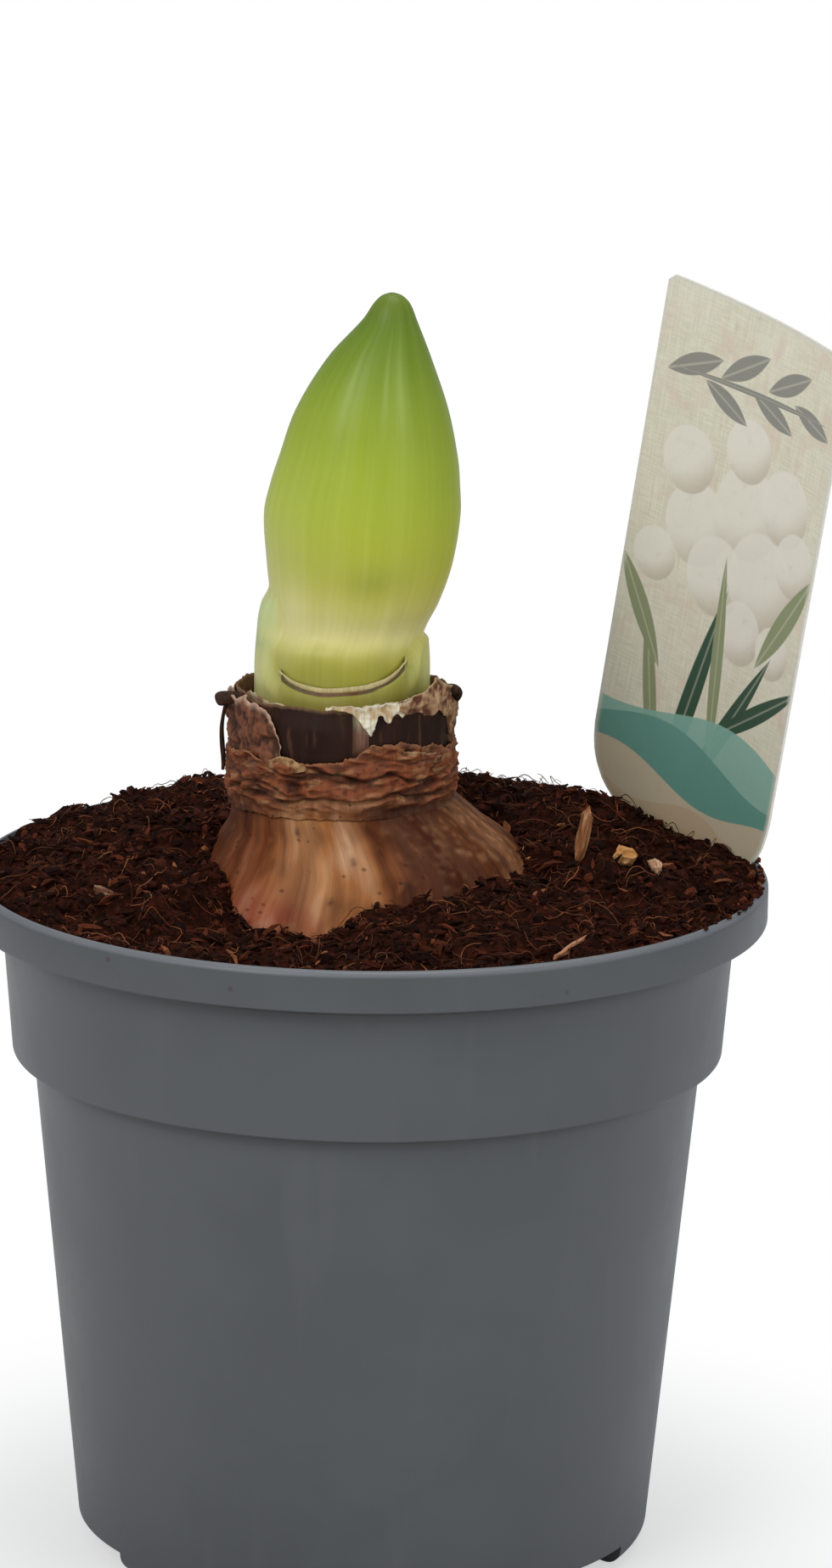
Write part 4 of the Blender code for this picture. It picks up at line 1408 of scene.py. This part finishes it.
bud = {
    "columns": 180,
    "rows": 170,
    # height in mm, then red, green and blue up the middle of the front
    "front": [
        (131, 150, 144, 60), (145, 160, 154, 56), (148.0, 172, 166, 60), (150.2, 198, 190, 96),
        (152, 222, 212, 134), (154.5, 218, 208, 134), (158, 204, 198, 102), (161.5, 192, 190, 74),
        (165, 184, 188, 60), (170, 180, 190, 52), (175, 172, 188, 50), (180, 164, 181, 47),
        (185.5, 151, 170, 40), (190.5, 138, 160, 34), (196, 118, 143, 24), (200, 104, 132, 18),
        (203, 96, 124, 16), (206.9, 106, 126, 30),
    ],
    # the left glow is painted light on the left side, the right shade is painted shade on the right, and the
    # stripes are painted highlights
    "leftHighlight": (208, 210, 156), "rightShade": (118, 138, 42), "leftFoot": (240, 230, 170),
    "frontFoot": (142, 146, 52), "highlightStripe": (182, 198, 118),
    "highlightStripes": [(-24, 3.5), (9, 2.6), (22, 4.0)],  # turn and width in degrees
}


def budTint(turn, height):
    degrees, side, z = halfTurn(turn), math.sin(turn), height / mm
    wander = 1.3 * grain((20 * mm * side, 20 * mm * math.cos(turn), height * 0.12), 4 * mm, 81.0)
    # painted light on the left, painted shade on the right, and painted highlight stripes near the tip
    layers = [
        ("leftHighlight", 0.4 * max(0.0, -side) ** 2 * bell(z, 160, 16)),
        ("rightShade", 0.4 * max(0.0, side) ** 2 * ease((z - 160) / 20)),
        ("leftFoot", 0.42 * bell(degrees, -46, 18) * bell(z, 156.5, 4.5)),
        ("frontFoot", 0.38 * bell(degrees, 8, 20) * bell(z, 162, 2.6)),
    ]
    for place, width in bud["highlightStripes"]:
        layers.append(("highlightStripe", 0.3 * bell(degrees, place, width) * bell(z, 192, 7)))
    return paint(smoothAt(z + wander, bud["front"]), bud, layers)


sheath = {
    "turns": (-180, 180), "columns": 430, "rows": 56, "wall": 1.2 * mm,
    "radius": 14.2 * mm, "foot": 130.2 * mm,
    # turn in degrees, then the height of the lip in mm
    "lip": [
        (-180, 151.5), (-140, 155.5), (-110, 159.6), (-92, 160.6), (-78, 160.4), (-68, 159.8),
        (-62, 158.4), (-58, 155.6), (-55.5, 152.2), (-53, 149.2), (-50, 147.5), (-47.6, 146.8),
        (-33.7, 145.2), (-16.7, 144.4), (-1.3, 144.5), (18.5, 145.0), (35.6, 146.3), (50.4, 148.8),
        (54, 150.2), (58, 151.4), (70, 151.9), (84, 152.3), (110, 151.6), (145, 149.5), (180, 151.5),
    ],
    "olive": (160, 148, 66), "green": (178, 174, 82), "left": (210, 206, 138), "right": (204, 200, 120),
    "mintHighlight": (192, 212, 156), "greyGreen": (158, 178, 122), "lipBrown": (92, 40, 22), "lipOlive": (68, 48, 20),
}
membrane = {
    "turns": (-180, 180), "columns": 260, "rows": 16, "wall": 0.4 * mm,
    "radius": 12.9 * mm, "foot": 130.4 * mm,
    "cream": (222, 210, 156), "tan": (176, 148, 96),
}


greenSkin = {
    "stretch": 0.03, "vein": (226, 234, 200), "pale": (232, 240, 176), "paleShare": 0.12, "broad": 1.0,
}


def waxy(name, roughness, fineness, contrast, bump):
    # living green skin: its painted tint with soft veins
    made = newMaterial(name, roughness, Specular_IOR_Level=0.32)
    _, lines, colour = veined(made[1], greenSkin, fineness, contrast)
    return finished(made, colour, lines["Fine"], bump, 0.5)


def lipHeight(turn):
    return edgeAt(turn, sheath["lip"])


def fromSlit(turn):
    # degrees from the middle of the open slit at the front
    return abs(halfTurn(turn) - 1.5)


def lipPlaces():
    # the lip's edge every quarter of a degree, laid out flat
    places = [math.radians(-200 + 0.25 * i) for i in range(1601)]
    tree = KDTree(len(places))
    for i, turn in enumerate(places):
        tree.insert((turn * sheath["radius"], 0.0, lipHeight(turn)), i)
    tree.balance()
    return tree


lipTree = lipPlaces()


def lipGap(turn, height):
    # how far a place is below the lip, in mm
    away = lipTree.find((math.radians(halfTurn(turn)) * sheath["radius"], 0.0, height))[2] / mm
    return away if height < lipHeight(turn) else -away


def lobeShare(turn):
    # 0 along the open slit at the front, 1 round the rest
    return ease((fromSlit(turn) - 49.6) / 3.6)


def sheathFar(turn, height):
    degrees, z = halfTurn(turn), height / mm
    hug = budFar(turn, height)
    far = sheath["radius"] - 0.5 * mm * ease((z - 146) / 9) - 1.8 * mm * ease((z - 153) / 9)
    far += 0.07 * mm * skinGrain(turn, height * 0.1, 2.5, 71.0)
    if z > 144:
        far = max(far, hug + 0.4 * mm)
    # beside the slit it thins out on to the bud
    reach = 4.2 - 2.6 * ease((degrees - 58) / 12) * ease((170 - degrees) / 40)
    thin = ease((fromSlit(turn) - 43) / 10) * (1 - ease(lipGap(turn, height) / reach))
    return far * (1 - thin) + (hug - 0.1 * mm) * thin


def sheathHeight(turn, share):
    return sheath["foot"] + (lipHeight(turn) - sheath["foot"]) * share ** 0.8


def sheathPlace(turn, share):
    height = sheathHeight(turn, share)
    return neckPlace(turn, sheathFar(turn, height) - 0.2 * mm * ease(share * 24 - 23), height)


def sheathInner(turn, share):
    # above the slit it closes in on the bud
    height = sheathHeight(turn, share)
    far = sheathFar(turn, height)
    wall = sheath["wall"] - 0.85 * mm * ease(1 - lipGap(turn, height) / 1.2)
    close = lobeShare(turn) * ease((height / mm - 145.5) / 3)
    hug = budFar(turn, height) + 0.05 * mm
    return neckPlace(turn, min(far - 0.3 * mm, (far - wall) * (1 - close) + hug * close), height)


def sheathTint(turn, share, height):
    degrees, z = halfTurn(turn), height / mm
    gap, lobe = lipGap(turn, height), lobeShare(turn)
    wander = 3 * skinGrain(turn, height, 3, 75.0)
    ear = bell(degrees + 5 * wander, -80, 17)
    colour = paint(sheath["olive"], sheath, [
        ("green", ease((z - 142.0) / 4.0)),
        ("left", ease((-degrees - 36) / 34)),
        ("right", ease((degrees - 40) / 34)),
        ("green", 0.8 * ease((abs(degrees) - 110) / 60)),
        ("greyGreen", 0.6 * ear * bell(z + wander, 150.3, 1.8)),
        # a painted highlight on the left lobe
        ("mintHighlight", 0.7 * ear * bell(z + wander, 154.8, 2.8)),
    ])
    colour = blendTones(colour, budTint(turn, height), lobe * ease((2.6 - gap) / 2.2))
    brown = paint(sheath["lipOlive"], sheath, [("lipBrown", bell(degrees, -2, 22))])
    wide = 0.66 - 0.26 * ease((degrees - 14) / 20)
    return blendTones(colour, brown, 0.95 * (1 - lobe) * ease((wide - gap) / 0.22))


def membranePlace(turn, share):
    # from inside the lip it leans in to the bud
    lip, shut = lipHeight(turn), lobeShare(turn)
    show = 0.2 + 0.5 * (1 - ease((fromSlit(turn) - 20) / 30))
    top = (lip + show * mm + torn(turn, 73, 0.12)) * (1 - shut) + 143.0 * mm * shut
    height = membrane["foot"] + (top - membrane["foot"]) * share
    snug = ease((height - lip) / (1.0 * mm) + 1.2)
    far = membrane["radius"] * (1 - snug) + (sheath["radius"] - 0.5 * mm) * snug
    close = ease((height - lip) / (0.9 * mm) + 0.05)
    return neckPlace(turn, far * (1 - close) + (budFar(turn, height) + 0.4 * mm) * close, height)


def membraneTint(turn, share, height):
    patch = skinGrain(turn, height, 2)
    return paint(membrane["tan"], membrane, [("cream", ease(share * 18 - 16.6 + 0.6 * patch))])


leafGreen = waxy("leafGreen", 0.45, 1500.0, 0.4, 0.00003)
makeSkin("leafSheath", sheath, sheathPlace, sheathTint, leafGreen, "leaf_green", ["leaf_sheath"], sheathInner)
makeSkin("sheathSkin", membrane, membranePlace, membraneTint, paleScale, "pale_scale", ["sheath_membrane"])
print("sheath made")


# flower bud and its stem, in one smooth piece

def budPlace(turn, height):
    centreX, width, depth = smoothAt(height, budSections)
    place = wrapAt(turn, height * 0.06, 16 * mm)
    flute = 0.2 * mm * grain(place, 4.5 * mm, 83.0) + 0.03 * mm * grain(place, 1.6 * mm, 85.0)
    flute *= min(1.0, width / (8 * mm))
    return ovalAt(turn, width + flute, depth + flute, height, centreX)


def makeBud():
    # the rows lie closer together towards the tip
    rows, bottom, top = bud["rows"], budSections[0][0], budSections[-1][0]
    heights = [bottom + (top - bottom) * (1 - (1 - row / rows) ** 1.25) for row in range(rows + 1)]
    endTints = [budTint(0.0, bottom), budTint(0.0, top)]
    skin = waxy("budGreen", 0.42, 1100.0, 0.3, 0.00002)
    replaced = ["flower_stem", "flower_bud"]
    makeBody("flowerBud", bud["columns"], heights, budPlace, budTint, endTints, skin, "bud_green", replaced)


makeBud()
print("bud made")


# label

label = {
    "foot": Vector((51.8 * mm, 23.5 * mm, 113.4 * mm)),
    "yaw": math.radians(51.4),
    "tilt": math.radians(12.0),
    "curl": 118.0 * mm,
    "bend": (-4.0 * mm, 62.0 * mm),  # below this height it bends in, on this radius
    "thick": 0.5 * mm,
    "corner": 1.2,  # radius of the top corners, in mm
    "columns": 40,
    "rows": 120,
    "card": (236, 232, 220), "cardShade": (206, 200, 184),
    "linen": (242, 237, 216), "linenDark": (196, 187, 160), "blush": (232, 208, 190),
    "grey": (152, 150, 142), "green": (52, 84, 62), "white": (246, 241, 229),
    "paleGreen": (150, 158, 118), "berryShade": (204, 190, 170), "earth": (160, 140, 112),
    "grime": (118, 104, 80), "wetSoil": (72, 44, 32),
    # height, swell, length and shift of each rolling line, in mm, and its colour
    "hills": [
        (19.0, 2.6, 58.0, 0.6, (142, 190, 176)), (14.5, 2.4, 50.0, 2.4, (106, 160, 147)),
        (7.5, 2.2, 44.0, 4.2, (214, 196, 168)), (3.0, 1.6, 30.0, 1.0, (204, 180, 148)),
    ],
}


def labelPlace(across, up, lift):
    # the card curls across its width, leans back and bends in at its foot
    yaw, tilt, curl = label["yaw"], label["tilt"], label["curl"]
    level = Vector((math.cos(yaw), -math.sin(yaw), 0.0))
    towards = Vector((-math.sin(yaw), -math.cos(yaw), 0.0))
    bendStart, bendRadius = label["bend"]
    flat = curl * math.sin(across / curl)
    buried = max(0.0, bendStart - up)
    hollow = curl * (1 - math.cos(across / curl)) + buried * buried / (2 * bendRadius) + lift
    along = math.cos(tilt) * flat + math.sin(tilt) * up
    rise = -math.sin(tilt) * flat + math.cos(tilt) * up
    return label["foot"] + level * along + towards * hollow + Vector((0.0, 0.0, rise))


labelOutline = [
    # height up the label from its foot, half width
    (-46.0, 1.0), (-43.0, 2.7), (-40.0, 4.0), (-30.0, 4.4), (-20.0, 4.8), (-10.0, 5.0), (-7.0, 5.2),
    (-5.2, 5.8), (-3.6, 9.0), (-2.5, 12.0), (-1.0, 15.4), (0.5, 17.6), (2.0, 19.2), (4.0, 20.6),
    (6.0, 21.6), (8.5, 22.2), (11.0, 22.5), (31.0, 22.5), (51.0, 22.5), (71.0, 22.5), (91.0, 22.5),
]
# the print: slender leaves, berries and hills, laid out for this label alone
# (across, up, turn in degrees, length, width, colour), in mm from the label's foot
printLeaves = [
    (-3, 22, 78, 46, 4.2, "green"), (6, 20, 62, 40, 3.6, "green"), (13, 26, 38, 30, 3.4, "green"),
    (-12, 20, 104, 34, 3.2, "paleGreen"), (2, 30, 96, 40, 3.0, "paleGreen"),
    (-17, 34, 124, 22, 4.0, "paleGreen"), (17, 44, 60, 24, 4.4, "paleGreen"),
    (-14, 78, 24, 13, 4.0, "grey"), (-6, 74, -22, 12, 3.6, "grey"), (-3, 81, 34, 13, 4.0, "grey"),
    (5, 76, -18, 12, 3.6, "grey"), (8, 82, 30, 12, 3.8, "grey"), (15, 78, -14, 11, 3.4, "grey"),
    (0, 77.6, 4, 40, 1.1, "grey"),
]
# (across, up, radius)
printBerries = [
    (-8, 52, 7.4), (3, 58, 8.2), (-2, 45, 7.0), (9, 48, 8.6), (-12, 62, 6.0), (12, 62, 6.6), (1, 68, 5.6),
    (17, 54, 5.6), (-16, 44, 4.8), (6, 38, 5.6), (15, 38, 4.6),
]


def makeLeafGroup():
    # Mask is 1 inside a pointed leaf; Rib runs up its middle
    sockets = {"Place": None, "Middle": None, "Turn": None, "Length": 20.0, "Width": 4.0}
    group, given, made = newGroup("printLeaf", sockets, ("Mask", "Rib"))
    away = vectorOf(group, "SUBTRACT", given["Place"], given["Middle"])
    turned = put(group, "ShaderNodeVectorRotate", {"Vector": away, "Rotation": given["Turn"]},
                 rotation_type="EULER_XYZ", invert=True)
    flat = partsOf(group, turned.outputs[0])
    along = mathOf(group, "DIVIDE", flat["X"], times(group, given["Length"], 0.5))
    across = mathOf(group, "DIVIDE", flat["Y"], times(group, given["Width"], 0.5))
    room = mathOf(group, "SUBTRACT", 1.0, times(group, along, along))
    side = mathOf(group, "ABSOLUTE", across)
    inside = mathOf(group, "SUBTRACT", room, side)
    group.links.new(rangeOf(group, inside, 0.0, 0.12), made["Mask"])
    group.links.new(rangeOf(group, side, 0.02, 0.16, 1.0, 0.0), made["Rib"])
    return group


def makeRoundGroup():
    # Mask is 1 inside a round; Shade goes from 0 at its middle to 1 at its lower right edge
    sockets = {"Place": None, "Middle": None, "Radius": 5.0}
    group, given, made = newGroup("printRound", sockets, ("Mask", "Shade"))
    away = vectorOf(group, "SUBTRACT", given["Place"], given["Middle"])
    far = vectorOf(group, "LENGTH", away, output="Value")
    share = mathOf(group, "DIVIDE", far, given["Radius"])
    tilted = vectorOf(group, "DOT_PRODUCT", away, (0.5, -0.8, 0.0), "Value")
    slope = mathOf(group, "DIVIDE", tilted, given["Radius"])
    shade = mathOf(group, "ADD", slope, times(group, share, 0.5))
    group.links.new(rangeOf(group, share, 0.92, 1.0, 1.0, 0.0), made["Mask"])
    group.links.new(rangeOf(group, shade, 0.2, 1.5), made["Shade"])
    return group


def hillMask(tree, across, up, base, height, length, shift):
    # 1 below a rolling line
    wave = mathOf(tree, "SINE", mathOf(tree, "MULTIPLY_ADD", across, 2 * math.pi / length, shift))
    line = mathOf(tree, "MULTIPLY_ADD", wave, height, base)
    return rangeOf(tree, mathOf(tree, "SUBTRACT", line, up), -0.12, 0.12)


def labelCard():
    made = newMaterial("labelCard", 0.42, Specular_IOR_Level=0.4)
    tree = made[1]
    place = attributeOf(tree, "wrap")
    front = attributeOf(tree, "shade", "Fac")
    across, up, _ = partsOf(tree, place)
    weft = noiseOf(tree, stretched(tree, place, (0.25, 3.2, 1.0)), 1.0, 3.0, 0.6)
    warp = noiseOf(tree, stretched(tree, place, (3.2, 0.12, 1.0)), 1.0, 3.0, 0.6)
    weave = rangeOf(tree, mathOf(tree, "ADD", weft, warp), 0.75, 1.25)
    cloud = noiseOf(tree, place, 0.09, 3.0, 0.5)
    haze = noiseOf(tree, place, 0.16, 2.0, 0.5, 0.6)
    grime = noiseOf(tree, place, 0.35, 4.0, 0.6)
    low = mathOf(tree, "MULTIPLY_ADD", across, 0.35, up)
    printed = mixOf(tree, times(tree, weave, 0.4), label["linen"], label["linenDark"])
    printed = layered(tree, printed, label, [
        ("white", rangeOf(tree, cloud, 0.45, 0.7, 0.0, 0.35)),
        ("blush", rangeOf(tree, haze, 0.5, 0.7, 0.0, 0.5)),
        ("earth", rangeOf(tree, low, -6.0, 12.0, 0.85, 0.0)),
    ])
    leafGroup, roundGroup = makeLeafGroup(), makeRoundGroup()
    for x, y, radius in printBerries:
        found = useGroup(tree, roundGroup, {"Place": place, "Middle": (x, y, 0.0), "Radius": radius})
        soft = mixOf(tree, found["Shade"], label["white"], label["berryShade"])
        printed = mixOf(tree, times(tree, found["Mask"], 0.82), printed, soft)
    for x, y, turn, length, width, colour in printLeaves:
        found = useGroup(tree, leafGroup, {
            "Place": place, "Middle": (x, y, 0.0), "Turn": (0.0, 0.0, math.radians(turn)),
            "Length": length, "Width": width,
        })
        ribbed = mixOf(tree, times(tree, found["Rib"], 0.3), label[colour], label["linen"])
        printed = mixOf(tree, found["Mask"], printed, ribbed)
    for base, height, length, shift, colour in label["hills"]:
        hill = hillMask(tree, across, up, base, height, length, shift)
        printed = mixOf(tree, times(tree, hill, 0.92), printed, colour)
    printed = mixOf(tree, rangeOf(tree, grime, 0.55, 0.8, 0.0, 0.12), printed, label["grime"])
    back = mixOf(tree, times(tree, weave, 0.35), label["card"], label["cardShade"])
    back = mixOf(tree, rangeOf(tree, grime, 0.5, 0.8, 0.0, 0.3), back, label["cardShade"])
    soiled = rangeOf(tree, mathOf(tree, "MULTIPLY_ADD", grime, 7.0, up), -3.0, 5.0, 0.8, 0.0)
    colour = mixOf(tree, soiled, mixOf(tree, front, back, printed), label["wetSoil"])
    return finished(made, colour, weave, 0.00002, 0.4)


def makeLabel():
    rows, columns, corner = label["rows"], label["columns"], label["corner"]
    bottom, top = labelOutline[0][0], labelOutline[-1][0]
    points, place, side = [], [], []
    for front in (1.0, 0.0):
        lift = label["thick"] * (front - 0.5)
        for row in range(rows + 1):
            up = bottom + (top - bottom) * row / rows
            above = max(0.0, up - (top - corner))
            half = between(up, labelOutline) - corner + math.sqrt(max(0.0, corner ** 2 - above * above))
            for i in range(columns + 1):
                across = half * (2 * i / columns - 1)
                points.append(labelPlace(across * mm, up * mm, lift))
                place.append((across, up, 0.0))
                inset = half - abs(across) > 0.2 and top - up > 0.2
                side.append(front if inset else 0.0)
    faces = shellFaces(rows, columns + 1, False)
    card = labelCard()
    piece = makePiece("plantLabel", points, faces, card, "label_card", ["plant_label"], place, shade=side)
    piece.data.set_sharp_from_angle(angle=math.radians(50))


makeLabel()
print("label made")


# bits of bark on the mix

bark = {
    "chips": {
        "bark_chip_1": (168, 104, 60), "bark_chip_2": (214, 150, 84), "bark_chip_3": (218, 172, 138),
        "bark_chip_4": (94, 54, 36), "bark_chip_5": (180, 120, 88), "bark_chip_6": (120, 76, 50),
    },
    "fibre": (92, 54, 36), "aged": (110, 62, 38), "fresh": (234, 196, 150),
}


def barkMaterial():
    made = newMaterial("barkChip", 0.8, Specular_IOR_Level=0.3)
    tree = made[1]
    tint = attributeOf(tree, "tint", "Color")
    fibres = noiseOf(tree, attributeOf(tree, "wrap"), 2.4, 4.0, 0.65)
    colour = mixOf(tree, rangeOf(tree, fibres, 0.48, 0.7, 0.0, 0.75), tint, bark["fibre"])
    return finished(made, colour, fibres, 0.0004, 0.8)


def makeChip(name, number, colour, material):
    # the plain chip with splintered sides and frayed ends
    made = bmesh.new()
    made.from_mesh(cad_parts[name].data)
    bmesh.ops.subdivide_edges(made, edges=made.edges[:], cuts=6, use_grid_fill=True, smooth=0.5)
    middle = sum((vert.co for vert in made.verts), Vector()) / len(made.verts)
    furthest = max((vert.co - middle for vert in made.verts), key=lambda away: away.length)
    along, half = furthest.normalized(), furthest.length
    points, spots, tints = [], [], []
    for vert in made.verts:
        away = vert.co - middle
        run = away.dot(along)
        cross = away - along * run
        spot = cross + along * (0.14 * run)
        splinter = grain(spot, 0.45 * mm, 90.0 + number)
        chop = grain(spot, 1.2 * mm, 95.0 + number)
        fuller = 1 + 0.45 * abs(run / half) ** 3
        rough = 0.9 + 0.34 * splinter + 0.22 * chop
        frayed = 1 + 0.22 * grain(cross, 0.5 * mm, 99.0 + number) * abs(run / half)
        points.append(middle + cross * fuller * rough + along * run * frayed)
        spots.append(spot / mm)
        tints.append(paint(colour, bark, [
            ("aged", 0.9 * max(0.0, chop)),
            ("fresh", 0.7 * max(0.0, splinter)),
        ]))
    faces = [[vert.index for vert in face.verts] for face in made.faces]
    made.free()
    makePiece(name.replace("_", "") + "Bark", points, faces, material, "bark", [name], spots, tints)


def makeChips():
    material = barkMaterial()
    for number, (name, colour) in enumerate(bark["chips"].items()):
        makeChip(name, number, colour, material)


makeChips()
print("bark chips made")
